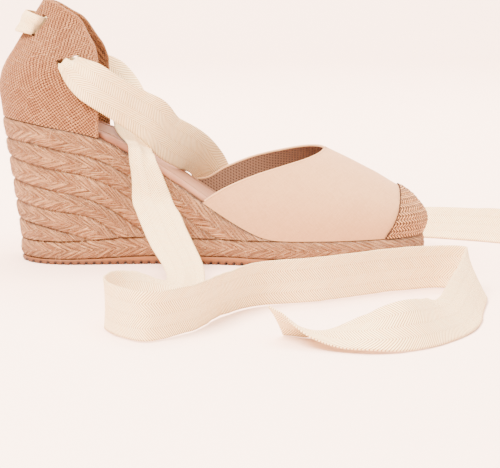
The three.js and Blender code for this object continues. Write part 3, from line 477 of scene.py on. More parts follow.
def plait(run, depth, sizes, stray=1.0):
    """A flat plait whose strands slope from both edges to the middle of each course.

    Gives its relief, the line across its strands and its marks: how dark a place is, the strand's tone.
    """
    course = depth / COURSE_HEIGHT + stray * 0.13 * (murmur(run / 17, depth / 11, 1) - 0.5)
    course = np.maximum(course, 0)
    part = np.mod(course, 1.0)
    lower = part > 0.5
    inward = 1 - np.abs(2 * part - 1)
    line = run + sizes.plait_slant * inward + 1.8 * (murmur(run / 16, depth / 9, 2) - 0.5)
    line = line + 0.5 * (murmur(run / 4, depth / 4, 3) - 0.5)
    strand = line / sizes.plait_pitch + 0.5 * lower
    from_middle = np.abs(2 * np.mod(strand, 1.0) - 1)
    number, row = np.floor(strand), 2 * np.floor(course) + lower
    tone = np.mod(np.sin(number * 12.99 + row * 78.23) * 43758.5453, 1.0)
    patch = murmur(run / 6, depth / 3, 4)
    seam = 1 - smooth(0.0, 0.1 + 0.22 * murmur(run / 4, depth / 20, 5), inward)
    gap = smooth(0.7, 0.97, from_middle) * (0.45 + 0.55 * patch)
    dark = np.maximum(gap, seam * (0.4 + 0.6 * murmur(run / 8, course, 6)))
    dark = np.maximum(dark, 0.3 * smooth(0.86, 1.0, inward) * patch)
    body = np.clip(1 - from_middle**2.2, 0, 1) ** 0.6 * (0.55 + 0.45 * tone)
    relief = body * smooth(0, 0.2, inward) + 0.3 * (murmur(line / 0.9, run / 6, 7) - 0.5)
    return relief, line, stack(dark, tone, patch)


class Sheets:
    """Collects grids of points into one mesh piece, with cloth coordinates in millimetres."""

    def __init__(self):
        self.points, self.faces, self.uvs, self.marks, self.count = [], [], [], [], 0

    def add(self, points, uv, keep=None, flip=False, marks=(0, 0.5, 0.5)):
        rows, columns = points.shape[:2]
        index = np.arange(rows * columns).reshape(rows, columns) + self.count
        quads = np.stack([index[:-1, :-1], index[:-1, 1:], index[1:, 1:], index[1:, :-1]], -1)
        quads = quads.reshape(-1, 4) if keep is None else quads[keep]
        quads = quads[:, ::-1] if flip else quads
        self.points.append(points.reshape(-1, 3))
        self.uvs.append(uv.reshape(-1, 2))
        self.faces.append(quads)
        self.marks.append(np.broadcast_to(marks, points.shape).reshape(-1, 3))
        self.count += rows * columns
        return self

    def strip(self, first, second, uv_first, uv_second, flip=False, marks=(0, 0.5, 0.5)):
        """One row of faces between two lines of points."""
        return self.add(np.stack([first, second]), np.stack([uv_first, uv_second]), flip=flip, marks=marks)

    def piece(self, name, slot, material, nodes=(), shift=True):
        points = np.concatenate(self.points) * MM
        if shift:
            points = points + np.array(DRAWN_AT)
        uvs = np.concatenate(self.uvs)
        mesh = bpy.data.meshes.new(name)
        mesh.from_pydata(points.tolist(), [], np.concatenate(self.faces).tolist())
        corners = np.empty(len(mesh.loops), np.int32)
        mesh.loops.foreach_get("vertex_index", corners)
        layer = mesh.uv_layers.new(name="cloth")
        layer.data.foreach_set("uv", uvs[corners].astype(np.float32).ravel())
        marks = np.concatenate(self.marks)
        layer = mesh.attributes.new("strand", "FLOAT_COLOR", "POINT")
        marks = np.column_stack([marks, np.ones(len(marks))])
        layer.data.foreach_set("color", marks.astype(np.float32).ravel())
        mesh.materials.append(material)
        work = bmesh.new()
        work.from_mesh(mesh)
        bmesh.ops.remove_doubles(work, verts=work.verts, dist=SAME_PLACE)
        bmesh.ops.delete(work, geom=[v for v in work.verts if not v.link_faces], context="VERTS")
        for face in work.faces:
            face.smooth = True
        work.to_mesh(mesh)
        work.free()
        return place(bpy.data.objects.new(name, mesh), nodes)


def place(piece, nodes=()):
    """Links a finished piece, lets it ride on the shoe and stand for its plain solids."""
    bpy.context.scene.collection.objects.link(piece)
    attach(piece, BODY)
    if nodes:
        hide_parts(*nodes)
    return piece


def stack(*values):
    return np.stack(np.broadcast_arrays(*values), -1).astype(float)


def paint(red, green, blue):
    """Linear colour of a swatch given as it looks on a screen, 0 to 255."""
    def one(value):
        value = value / 255
        return value / 12.92 if value <= 0.04045 else ((value + 0.055) / 1.055) ** 2.4
    return one(red), one(green), one(blue)


class Value:
    """A number in a finish's node tree; arithmetic on it adds Math nodes."""

    def __init__(self, cloth, socket):
        self.cloth, self.socket = cloth, socket

    def __add__(self, other):
        return self.cloth.math("ADD", self, other)

    def __sub__(self, other):
        return self.cloth.math("SUBTRACT", self, other)

    def __rsub__(self, other):
        return self.cloth.math("SUBTRACT", other, self)

    def __mul__(self, other):
        return self.cloth.math("MULTIPLY", self, other)

    def __truediv__(self, other):
        return self.cloth.math("DIVIDE", self, other)

    __radd__, __rmul__ = __add__, __mul__


class Cloth:
    """A procedural finish; each call adds one node or a few and gives back the result."""

    def __init__(self, name, roughness, sheen=0.0, specular=0.3):
        self.material = bpy.data.materials.new(name)
        self.material.use_nodes = True
        self.nodes = self.material.node_tree.nodes
        self.links = self.material.node_tree.links
        self.shader = next(n for n in self.nodes if n.type == "BSDF_PRINCIPLED")
        self.shader.inputs["Roughness"].default_value = roughness
        self.shader.inputs["Specular IOR Level"].default_value = specular
        self.shader.inputs["Sheen Weight"].default_value = sheen

    def put(self, socket, value):
        value = value.socket if isinstance(value, Value) else value
        if isinstance(value, bpy.types.NodeSocket):
            self.links.new(value, socket)
        elif isinstance(value, (int, float)):
            socket.default_value = value
        else:
            socket.default_value = (*value, 1.0)[: len(socket.default_value)]

    def node(self, kind, *values, **settings):
        node = self.nodes.new("ShaderNode" + kind)
        for key, value in settings.items():
            setattr(node, key, value)
        for socket, value in zip(node.inputs, values):
            self.put(socket, value)
        return node

    def split(self, vector, kind="SeparateXYZ"):
        return [Value(self, socket) for socket in self.node(kind, vector).outputs[:3]]

    def math(self, kind, *values):
        return Value(self, self.node("Math", *values, operation=kind).outputs[0])

    def floor(self, value):
        return self.math("FLOOR", value)

    def part(self, value):
        return self.math("FRACT", value)

    def hump(self, value):
        """Rises and falls once in every whole step of the value."""
        return self.math("SINE", self.part(value) * math.pi)

    def most(self, a, b):
        return self.math("MAXIMUM", a, b)

    def least(self, a, b):
        return self.math("MINIMUM", a, b)

    def limit(self, value):
        return self.least(1.0, self.most(0.0, value))

    def ease(self, value, low, high):
        node = self.node("MapRange", value, low, high, interpolation_type="SMOOTHSTEP")
        return Value(self, node.outputs["Result"])

    def coordinates(self):
        return self.split(self.node("UVMap", uv_map="cloth").outputs["UV"])[:2]

    def marks(self):
        return self.split(self.node("Attribute", attribute_name="strand").outputs["Color"], "SeparateColor")

    def position(self):
        return self.nodes.new("ShaderNodeTexCoord").outputs["Object"]

    def vector(self, *values):
        return self.node("CombineXYZ", *values).outputs[0]

    def noise(self, vector, scale, detail=2.0, roughness=0.5):
        node = self.node("TexNoise")
        values = {"Vector": vector, "Scale": scale, "Detail": detail, "Roughness": roughness}
        for key, value in values.items():
            self.put(node.inputs[key], value)
        return Value(self, node.outputs["Fac"])

    def chance(self, x, y):
        node = self.node("TexWhiteNoise", self.vector(x, y), noise_dimensions="2D")
        return Value(self, node.outputs["Value"])

    def blend(self, share, a, b, kind="MIX"):
        node = self.node("Mix", data_type="RGBA", blend_type=kind)
        for k, value in ((0, share), (6, a), (7, b)):
            self.put(node.inputs[k], value)
        return node.outputs[2]

    def finish(self, colour, height, strength, depth_mm):
        node = self.node("Bump")
        for key, value in (("Strength", strength), ("Distance", depth_mm * MM), ("Height", height)):
            self.put(node.inputs[key], value)
        self.put(self.shader.inputs["Base Color"], colour)
        self.put(self.shader.inputs["Normal"], node.outputs["Normal"])
        return self.material


def jute_braid_finish(name, colours):
    """Plaited jute: loose fibres along the strands, dark where strands and courses part."""
    cloth = Cloth(name, 0.92, sheen=0.1, specular=0.15)
    line, run = cloth.coordinates()
    dark, tone, _ = cloth.marks()
    coarse = cloth.noise(cloth.vector(line * 0.85, run * 0.1, tone * 4.0), 1.0, 3.0, 0.65)
    fine = cloth.noise(cloth.vector(line * 2.0, run * 0.22, tone), 1.0, 3.0, 0.7)
    cloudy = cloth.noise(cloth.position(), 42.0, 4.0, 0.6)
    speck = cloth.noise(cloth.position(), 520.0, 3.0, 0.7)
    yarn = cloth.math("ABSOLUTE", cloth.part(0.6 * coarse + line / YARN_PITCH) * 2.0 - 1.0)
    light = 0.45 + 3.4 * (coarse - 0.5) + 3.2 * (fine - 0.5) + 1.2 * (speck - 0.5) + 0.35 * (tone - 0.5)
    colour = cloth.blend(cloth.limit(light), colours.jute_shade, colours.jute_light)
    colour = cloth.blend(0.5 * cloth.ease(cloudy, 0.5, 0.72), colour, colours.jute_warm)
    colour = cloth.blend(0.85 * cloth.ease(fine, 0.56, 0.7), colour, colours.jute_straw)
    between = 0.42 * cloth.ease(yarn, 0.5, 0.95) * cloth.ease(speck, 0.35, 0.6)
    hollow = 0.6 * cloth.ease(1.0 - fine, 0.56, 0.7)
    parted = dark * (0.6 + 0.6 * cloth.ease(speck, 0.3, 0.7))
    deep = cloth.most(cloth.most(between, hollow), parted)
    colour = cloth.blend(cloth.least(deep, 0.9), colour, colours.jute_gap)
    return cloth.finish(colour, coarse + 0.9 * fine - 0.35 * yarn, 1.0, 0.9)


def plain_weave_finish(name, pitch, turned, swatches, depth_mm, open_work, grain_share=0.8, low_shade=0.0):
    """Plain weave of threads a pitch apart, laid at an angle; swatches are thread, light and hole.

    open_work says how dark the holes show, low_shade how much painted shade darkens the cloth near the floor.
    """
    cloth = Cloth(name, 0.9, sheen=0.1, specular=0.15)
    u, v = cloth.coordinates()
    cosine, sine = math.cos(turned) / pitch, math.sin(turned) / pitch
    warp, weft = u * cosine + v * sine, v * cosine - u * sine
    over = cloth.part(0.5 * (cloth.floor(warp) + cloth.floor(weft)))
    height = cloth.most(cloth.hump(warp) * (0.45 + 1.1 * over), cloth.hump(weft) * (1.0 - 1.1 * over))
    luck = 0.5 * (cloth.chance(cloth.floor(warp), cloth.floor(0.17 * weft))
                  + cloth.chance(cloth.floor(weft), cloth.floor(0.13 * warp)))
    grain = cloth.noise(cloth.position(), 900.0, 3.0, 0.6)
    clouds = cloth.noise(cloth.position(), 70.0, 3.0, 0.6)
    tone = luck + 0.8 * (height - 0.6) + grain_share * (grain - 0.5) + 0.9 * (clouds - 0.5)
    thread, light, gap = swatches
    colour = cloth.blend(cloth.limit(tone), thread, light)
    hole = (1.0 - cloth.ease(height, 0.3, 0.82)) * (open_work * clouds + open_work * 0.5)
    colour = cloth.blend(cloth.least(1.0, hole), colour, gap)
    # Painted shade: the cloth turns darker towards the floor, as if shaded there
    if low_shade:
        low = 1.0 - cloth.ease(cloth.split(cloth.position())[2], 0.01, 0.045)
        colour = cloth.blend(low_shade * low, colour, thread, "MULTIPLY")
    return cloth.finish(colour, height + 0.25 * grain, 0.9, depth_mm)


def herringbone_finish(name, column, pitch, slope, swatches, depth_mm, line_share, turn_share):
    """Twill lines that turn at each column across the cloth; swatches are ground, light and line."""
    cloth = Cloth(name, 0.88, sheen=0.1, specular=0.15)
    run, across = cloth.coordinates()
    columns = across / column
    soft = cloth.noise(cloth.position(), 60.0, 2.0, 0.5)
    twill = (run + column * slope * cloth.math("PINGPONG", columns, 1.0) + pitch * 0.8 * soft) / pitch
    wave = cloth.hump(twill)
    luck = cloth.chance(cloth.floor(twill), cloth.floor(columns))
    turn = 1.0 - cloth.ease(cloth.math("PINGPONG", columns, 0.5), 0.02, 0.16)
    grain = cloth.noise(cloth.position(), 700.0, 3.0, 0.6)
    ground, light, dark = swatches
    tone = 0.4 * luck + 0.65 * wave + 0.9 * (grain - 0.5)
    colour = cloth.blend(cloth.limit(tone), ground, light)
    valley = cloth.most(line_share * (1.0 - cloth.ease(wave, 0.15, 0.75)), turn_share * turn)
    colour = cloth.blend(cloth.least(1.0, valley * (0.6 + 0.8 * grain)), colour, dark)
    return cloth.finish(colour, wave + 0.2 * grain, 0.9, depth_mm)


def lining_finish(name, colours):
    """Perforated lining: rows of dark pinholes."""
    cloth = Cloth(name, 0.85, sheen=0.1)
    u, v = cloth.coordinates()
    column, row = cloth.part(u / PINHOLE_COLUMN) - 0.5, cloth.part(v / PINHOLE_ROW) - 0.5
    from_hole = cloth.math("SQRT", column * column + row * row)
    hole = 1.0 - cloth.ease(from_hole, 0.2, 0.36)
    grain = cloth.noise(cloth.position(), 600.0, 3.0)
    colour = cloth.blend(grain, colours.lining_shade, colours.lining)
    colour = cloth.blend(0.75 * hole, colour, colours.pinhole)
    return cloth.finish(colour, 1.0 - hole + 0.2 * grain, 0.8, 0.4)


def smooth_finish(name, base, shade, roughness, scale, depth_mm, specular=0.3, painted_heel_shade=0.0):
    """Plain surface with soft clouding and a fine grain, with painted shade towards the heel if wanted."""
    cloth = Cloth(name, roughness, specular=specular)
    clouds = cloth.noise(cloth.position(), scale, 3.0, 0.55)
    grain = cloth.noise(cloth.position(), scale * 18, 3.0, 0.6)
    tone = 0.5 + 1.6 * (clouds - 0.5) + 0.5 * (grain - 0.5)
    colour = cloth.blend(cloth.limit(tone), shade, base)
    # Painted shade: darker towards the heel, where the back panel shades the foot bed
    if painted_heel_shade:
        back = 1.0 - cloth.ease(cloth.split(cloth.position())[0], -0.055, -0.026)
        colour = cloth.blend(painted_heel_shade * back, colour, shade, "MULTIPLY")
    return cloth.finish(colour, grain, 0.5, depth_mm)


def crepe_finish(name, colours):
    """Crepe rubber: brown, paler towards the top of its side, with painted shade in the notches near the
    floor and a rough grain.
    """
    cloth = Cloth(name, 0.62, specular=0.4)
    clouds = cloth.noise(cloth.position(), 120.0, 4.0, 0.6)
    grain = cloth.noise(cloth.position(), 1500.0, 3.0, 0.6)
    run, up = cloth.coordinates()
    rib = cloth.math("PINGPONG", run - (HEEL_X + OUTSOLE_INSET), RIB_PITCH / 2)
    # Painted shade: the notches between the ribs darken low down, near the floor
    notch_shade = 1.0 - cloth.ease(rib, RIB_PITCH * 0.06, RIB_PITCH * 0.3)
    low = 1.0 - cloth.ease(up, OUTSOLE_THICK * 0.3, OUTSOLE_THICK * 0.6)
    colour = cloth.blend(clouds, colours.crepe_shade, colours.crepe)
    colour = cloth.blend(0.6 * cloth.ease(up, 1.4, 3.2), colour, colours.crepe_pale)
    colour = cloth.blend(notch_shade * low, colour, colours.jute_gap)
    return cloth.finish(colour, clouds + grain, 0.6, 0.25)


# Sizes of the finishes in millimetres
SIZES = {
    "plait_pitch": ("Width of one plaited strand along a braid", 4.9),
    "plait_slant": ("How far a strand runs along the braid to its middle", 12.0),
    "plait_relief": ("How far a plaited strand stands up", 0.95),
    "burlap_pitch": ("Distance between the threads of the back panel", 1.45),
    "canvas_pitch": ("Distance between the threads of the vamp", 0.5),
    "cap_row": ("Height of a woven row of the toe cap", 2.4),
    "cap_stitch": ("Width of a woven stitch of the toe cap", 2.0),
    "twill_pitch": ("Distance between the twill lines of the ties", 1.3),
}
# Colours as they would look on a screen, 0 to 255
COLOURS = {
    "jute_light": ("Raised fibres of the braids", 184, 136, 95),
    "jute_shade": ("Body of the braids", 116, 72, 43),
    "jute_warm": ("Warmer patches of the braids", 143, 92, 56),
    "jute_straw": ("Single pale fibres", 216, 178, 138),
    # jute_gap is also the painted shade in the outsole's notches
    "jute_gap": ("Gaps between the strands", 46, 22, 10),
    "burlap": ("Threads of the back panel", 122, 74, 42),
    "burlap_light": ("Pale threads of the back panel", 152, 106, 70),
    "burlap_hole": ("Holes between the threads", 58, 26, 10),
    "weave": ("Woven jute of the toe cap", 116, 64, 34),
    "weave_light": ("Raised stitches of the toe cap", 206, 152, 102),
    "weave_hole": ("Gaps of the toe cap", 46, 20, 8),
    "canvas": ("Vamp", 186, 142, 103),
    "canvas_light": ("Raised threads of the vamp", 200, 156, 115),
    "canvas_line": ("Gaps of the vamp's weave", 166, 122, 86),
    "lining": ("Lining of the upper", 124, 90, 70),
    "lining_shade": ("Darker lining", 120, 86, 64),
    "pinhole": ("Holes of the lining", 44, 24, 15),
    "insole": ("Foot bed", 157, 112, 87),
    "insole_shade": ("Clouding of the foot bed", 143, 99, 75),
    "crepe": ("Outsole", 100, 54, 22),
    "crepe_shade": ("Darker crepe", 70, 36, 14),
    # crepe_pale is laid on the outsole's side by height, paler towards its top
    "crepe_pale": ("Worn ribs of the outsole", 132, 80, 37),
    "tape": ("Ground of the cotton ties", 255, 216, 150),
    "tape_light": ("Raised lines of the ties", 255, 236, 186),
    "tape_line": ("Lines between the twill", 160, 98, 52),
    "seam": ("Dark seam at the toe cap", 52, 26, 12),
    "backdrop": ("Floor and wall of the stage", 253, 230, 218),
}


def label(key):
    return key.replace("_", " ").capitalize()


def swatch(key, use, *colour):
    return bpy.props.FloatVectorProperty(name=label(key), description=use, subtype="COLOR", size=3,
                                         min=0.0, max=1.0, default=paint(*colour))


def length_mm(key, use, value):
    return bpy.props.FloatProperty(name=label(key), description=use + ", mm", default=value, min=0.01)


class EspadrilleSizes(bpy.types.PropertyGroup):
    __annotations__ = {key: length_mm(key, *facts) for key, facts in SIZES.items()}
    hair_count: bpy.props.IntProperty(name="Jute hairs", description="Loose fibres on braids and burlap",
                                      default=1900, min=0)


class EspadrilleColours(bpy.types.PropertyGroup):
    __annotations__ = {key: swatch(key, *facts) for key, facts in COLOURS.items()}


class Step:
    """Shared by the build steps: each makes its pieces from the scene's sizes and colours."""

    def execute(self, context):
        self.build(context.scene.espadrille_sizes, context.scene.espadrille_colours)
        return {"FINISHED"}


def wedge_wall(run, turns, depth, sizes):
    """Points of the wrapped wedge, which of them lie above the bottom braid, and their plait."""
    lift, line, marks = plait(run, depth, sizes)
    part = np.mod(depth / COURSE_HEIGHT, 1.0)
    bulge = 1 - np.abs(2 * part - 1) ** 4.0
    inset = COURSE_BULGE * (1 - bulge) + WEDGE_INSET + STRAND_ROOT - sizes.plait_relief * lift
    x, y = outline(turns, inset)
    stretch = mix(1.03, 1.27, smooth(along(0.134), along(0.457), x))
    wander = 2.6 * (murmur(run / 26, depth / 10, 8) - 0.5) * smooth(0, 6, depth)
    z = seat_edge(x) - depth * stretch + wander
    low = braid_top(x) + 0.15
    above = z > low
    z = np.maximum(z, low)
    return stack(x + lean_back(x, z), y, z), above, stack(line, run), marks


class EspadrilleWedge(Step, bpy.types.Operator):
    """Jute braid wrapped in courses round the wedge"""

    bl_idname = "espadrille.wedge"
    bl_label = "Wrapped wedge"

    def build(self, sizes, colours):
        reach = (along(0.632) - HEEL_X - COURSE_BULGE) / (SOLE_LENGTH - 2 * COURSE_BULGE)
        front = math.acos(2 * reach - 1) / (2 * math.pi)
        turns, run = even_turns(front, 1 - front, COURSE_BULGE, 0.6)
        depth = np.arange(0, COURSES * COURSE_HEIGHT, 0.56)[:, None]
        points, above, uv, marks = wedge_wall(run[None, :], turns[None, :], depth, sizes)
        wall = Sheets()
        wall.add(points, uv, above[:-1, :-1] | above[:-1, 1:], marks=marks)
        edge_x, edge_y = outline(turns, COURSE_BULGE + WEDGE_INSET + 7)
        ledge = stack(edge_x + lean_back(edge_x, seat_edge(edge_x)), edge_y, points[0, :, 2])
        # The ledge under the foot bed's edge is marked almost fully dark: painted shade under the foot bed
        wall.strip(points[0], ledge, stack(run, 0.0), stack(run, -5.0), True, (0.9, 0.3, 0.5))
        wall.piece("wedge_braid", "jute_braid", jute_braid_finish("wedge_jute", colours), ["wedge"])


class EspadrilleBaseBraid(Step, bpy.types.Operator):
    """Plaited jute round the bottom edge"""

    bl_idname = "espadrille.base_braid"
    bl_label = "Bottom braid"

    def build(self, sizes, colours):
        turns, run = even_turns(0.75, 1.75, 0.0, 0.55)
        depth = np.linspace(0, COURSE_HEIGHT, 24)[:, None]
        part = 1 - depth / COURSE_HEIGHT
        swell = 1 - np.abs(2 * part - 1) ** 2.6
        lift, line, marks = plait(run[None, :] + 140, depth, sizes, stray=0.0)
        inset = BRAID_BULGE * (1 - swell) + STRAND_ROOT - sizes.plait_relief * lift
        x, y = outline(turns[None, :], inset)
        z = mix(braid_foot(x), braid_top(x), part)
        wall = Sheets()
        wall.add(stack(x, y, z), stack(line, run[None, :]), flip=True, marks=marks)
        inner_x, inner_y = outline(turns, 9.0)
        # The strips inward from the braid's top and bottom edges are marked dark: painted shade where the
        # wedge and the outsole meet the braid
        for row, height, flip in ((0, braid_top, True), (-1, braid_foot, False)):
            edge = stack(x[row], y[row], z[row])
            inner = stack(inner_x, inner_y, height(inner_x))
            wall.strip(edge, inner, stack(run, 1.0), stack(run, 4.5), flip, (0.8, 0.3, 0.5))
        wall.piece("bottom_braid", "jute_braid", jute_braid_finish("bottom_jute", colours), ["base_braid"])


class EspadrilleOutsole(Step, bpy.types.Operator):
    """Ribbed crepe outsole"""

    bl_idname = "espadrille.outsole"
    bl_label = "Crepe outsole"

    def build(self, sizes, colours):
        first, last = HEEL_X + OUTSOLE_INSET + 0.05, TOE_X - OUTSOLE_INSET - 0.05
        spread = np.sin(np.linspace(-np.pi / 2, np.pi / 2, 900))
        x = mix(first, last, (spread + 1) / 2)[:, None]
        rib = np.abs(np.sin(np.pi * (x - first) / RIB_PITCH))
        depth = RIB_DEPTH * mix(1.1, 1.25, smooth(along(0.134), along(0.306), x))
        low = depth * np.clip(1.25 - 2.1 * rib, 0, 1)
        ends = np.minimum(smooth(first, first + 3, x), smooth(-last, -last + 3, -x))
        low = np.maximum(low, 0.9 * (1 - ends))
        top = sole_top(x)
        mid = centre_line(x)
        height = np.array([0.0, 0.0, 0.06, 0.25, 0.5, 0.8, 1.0, 1.0])[None, :]
        wide = np.array([0.0, 0.975, 0.99, 1.0, 1.003, 1.0, 0.997, 0.9])[None, :]
        z = mix(low, top, height)
        sole = Sheets()
        for side, sign in (("outer", -1), ("inner", 1)):
            edge = mid + sign * half_width(x, side, OUTSOLE_INSET)
            sole.add(stack(x, mix(mid, edge, wide), z), stack(x, z), flip=sign > 0)
        sole.piece("crepe_outsole", "outsole", crepe_finish("crepe", colours), ["outsole"])


def bed_inset(x):
    heel = COUNTER_WALL + COUNTER_INSET + 0.4
    fore = FEATHER_INSET + UPPER_WALL + 0.7
    panel_end = COUNTER_FRONT_X + INNER_LONGER
    behind = mix(heel, 1.3, smooth(panel_end - 1.5, panel_end + 6.5, x))
    return mix(behind, fore, smooth(VAMP_BACK_X + 2, VAMP_BACK_X + 10, x))


class EspadrilleInsole(Step, bpy.types.Operator):
    """Smooth foot bed with a rounded edge"""

    bl_idname = "espadrille.insole"
    bl_label = "Foot bed"

    def build(self, sizes, colours):
        half = even_turns(0.0, 0.5, 3.0, 1.2)[0]
        turns = np.concatenate([half, 1 - half[-2::-1]])
        rough = outline(turns, 3.0)[0]
        sections = [(0.9, 0.0), (0.2, 0.12), (0.0, 0.35), (0.0, 0.6), (0.3, 0.82), (0.9, 0.94), (1.8, 1.0),
                    (4.0, 1.0), (7.0, 0.98)]
        rows = []
        for inset, up in sections:
            x, y = outline(turns, bed_inset(rough) + inset)
            low = np.maximum(seat_edge(x), braid_top(x)) + GAP
            thick = INSOLE_THICK * mix(1.0, 0.75, smooth(along(0.565), along(0.694), x))
            rows.append(stack(x + lean_back(x, low), y, low + thick * up))
        rows = np.array(rows)
        bed = Sheets().add(rows, rows[..., :2], flip=True)
        across = np.linspace(0, 1, 13)[:, None, None]
        outer, inner = rows[-1][:len(half)], rows[-1][::-1][:len(half)]
        middle = mix(outer[None], inner[None], across)
        middle[..., 2] -= 0.5 * np.sin(np.pi * across[..., 0])
        bed.add(middle, middle[..., :2])
        # The foot bed gets painted shade near the heel
        finish = smooth_finish("foot_bed", colours.insole, colours.insole_shade, 0.62, 45.0, 0.08,
                               painted_heel_shade=0.62)
        bed.piece("foot_bed", "insole", finish, ["insole"])


def upper_skin(side, inset, stations, levels):
    """Grid of one side of the vamp from its foot to the topline, or to the ridge ahead of it."""
    fine = np.linspace(0, np.pi / 2, 240)
    x, y, z = last_point(stations[:, None], side, fine[None, :], inset)
    open_above = z >= topline(x, y)
    open_above[x > VAMP_CLOSED_X] = False
    first = np.where(open_above.any(1), open_above.argmax(1), len(fine) - 1)
    before = np.maximum(first - 1, 0)
    rows = np.arange(len(stations))
    gap_before = (topline(x, y) - z)[rows, before]
    gap_after = (topline(x, y) - z)[rows, first]
    share = np.where(open_above.any(1), gap_before / np.maximum(1e-6, gap_before - gap_after), 1.0)
    end = mix(fine[before], fine[first], np.clip(share, 0, 1))
    angle = end[:, None] * np.linspace(0, 1, levels)[None, :]
    points = stack(*last_point(stations[:, None], side, angle, inset))
    return points, stack(points[..., 0], skin_length(points)), open_above.any(1)


def vamp_stations(inset):
    tip = TOE_X - FEATHER_INSET - inset
    behind = np.linspace(VAMP_BACK_X, POLE_X, 150)
    return np.concatenate([behind, mix(POLE_X, tip, np.sin(np.linspace(0, np.pi / 2, 60)[1:]))])


class EspadrilleVamp(Step, bpy.types.Operator):
    """Canvas vamp with its folded topline and perforated lining"""

    bl_idname = "espadrille.vamp"
    bl_label = "Canvas vamp"

    def build(self, sizes, colours):
        swatches = (colours.canvas, colours.canvas_light, colours.canvas_line)
        # The canvas takes painted shade low down, near the floor
        canvas = plain_weave_finish("canvas", sizes.canvas_pitch, math.radians(CANVAS_TURN), swatches,
                                    0.1, 0.5, 0.9, low_shade=0.22)
        vamp, lining = Sheets(), Sheets()
        outer_edge, inner_edge = [], []
        for side in ("outer", "inner"):
            flip = side == "inner"
            outer, uv, opened = upper_skin(side, 0.0, vamp_stations(0.0), 60)
            inner, inner_uv, _ = upper_skin(side, UPPER_WALL, vamp_stations(UPPER_WALL), 50)
            vamp.add(outer, uv, flip=not flip)
            lining.add(inner, inner_uv, flip=flip)
            last = int(np.where(opened)[0].max()) + 1
            start = int(np.argmax(outer[:, -1, 2] - outer[:, 0, 2] > 1.5))
            order = slice(None, None, -1 if flip else 1)
            outer_edge.append(outer[start:last + 1, -1][order])
            inner_edge.append(inner[start:last + 1, -1][order])
            vamp.strip(outer[0], respace(inner[0], outer.shape[1]), uv[0], uv[0], flip)
        outer_edge, inner_edge = np.concatenate(outer_edge), np.concatenate(inner_edge)
        vamp.piece("canvas_vamp", "canvas", canvas, ["vamp"])
        lining.piece("vamp_lining", "canvas", lining_finish("lining", colours))
        piping("topline_fold", (outer_edge + inner_edge) / 2, TOPLINE_ROLL, "canvas", canvas,
               squash=(inner_edge - outer_edge) / 2)


def piping(name, path, radius, slot, material, squash=None, sides=10):
    """Thin roll along a path; squash points across the wall that it closes."""
    tangent = unit(np.gradient(path, axis=0))
    across = square_to(np.cross(tangent, (0, 0, 1.0)) if squash is None else squash, tangent)
    upward = np.cross(across, tangent)
    run = run_along(path)
    turns = np.linspace(0, 2 * np.pi, sides + 1)[:, None, None]
    rings = path + radius * (np.cos(turns) * across + 0.8 * np.sin(turns) * upward)
    return Sheets().add(rings, stack(run, radius * turns[..., 0])).piece(name, slot, material)


class EspadrilleToeCap(Step, bpy.types.Operator):
    """Woven jute toe cap, slightly proud of the vamp, with its dark seam"""

    bl_idname = "espadrille.toe_cap"
    bl_label = "Toe cap"

    def build(self, sizes, colours):
        tip = TOE_X - FEATHER_INSET + CAP_PROUD
        start = CAP_SEAM_X - CAP_SEAM_BACK
        stations = mix(start, tip, np.sin(np.linspace(0, np.pi / 2, 330)))
        cap = Sheets()
        seams = []
        for side in ("outer", "inner"):
            fine = np.linspace(0, np.pi / 2, 400)
            x, y, z = last_point(stations[:, None], side, fine[None, :], -CAP_PROUD)
            inside = x > cap_seam(z)
            used = inside[:, 0]
            first = np.where(inside.all(1), len(fine) - 1, (~inside).argmax(1))
            angle = fine[first][used][:, None] * np.linspace(0, 1, 110)[None, :]
            at = stations[used][:, None]
            x, y, z = last_point(at, side, angle, -CAP_PROUD)
            rise = (z - braid_top(x)) * 1.15
            fold = np.abs(np.mod(rise / sizes.cap_row, 2.0) - 1)
            wide = np.hypot(x - POLE_X, y - ridge_across(POLE_X))
            around = np.arctan2(y - ridge_across(POLE_X), x - POLE_X) * np.mean(wide)
            stitch = np.abs(np.sin(np.pi * (around + fold * sizes.cap_row) / sizes.cap_stitch))
            row_edge = np.sin(np.pi * np.mod(rise / sizes.cap_row, 1.0))
            lift = 0.6 * stitch ** 0.8 * np.clip(row_edge, 0, 1) ** 0.6
            normal = grid_normals(stack(x, y, z))
            if np.mean(normal[..., 0]) < 0:
                normal = -normal
            points = stack(x, y, z) + normal * (lift - 0.15)[..., None]
            cap.add(points, stack(around, rise), flip=side == "outer")
            seams.append(points[:, -1])
            edge, edge_uv = points[:, -1], stack(around[:, -1], rise[:, -1])
            cap.strip(edge, edge - normal[:, -1] * 1.2, edge_uv, edge_uv, side == "outer")
        swatches = (colours.weave, colours.weave_light, colours.weave_hole)
        finish = herringbone_finish("toe_weave", sizes.cap_row, sizes.cap_stitch, 1.0, swatches,
                                    0.8, 1.9, 0.7)
        cap.piece("woven_toe_cap", "jute_weave", finish, ["toe_cap"])
        seam = np.concatenate([seams[0], seams[1][::-1]])
        gaps = np.linalg.norm(np.diff(seam, axis=0), axis=1)
        seam = seam[np.concatenate([[True], gaps > 0.05])]
        dark = smooth_finish("seam_thread", colours.seam, colours.jute_gap, 0.9, 300.0, 0.05)
        piping("toe_cap_seam", seam + np.array([-0.35, 0, -0.1]), 0.34, "jute_weave", dark, sides=8)


def grid_normals(points):
    return unit(np.cross(np.gradient(points, axis=0), np.gradient(points, axis=1)))


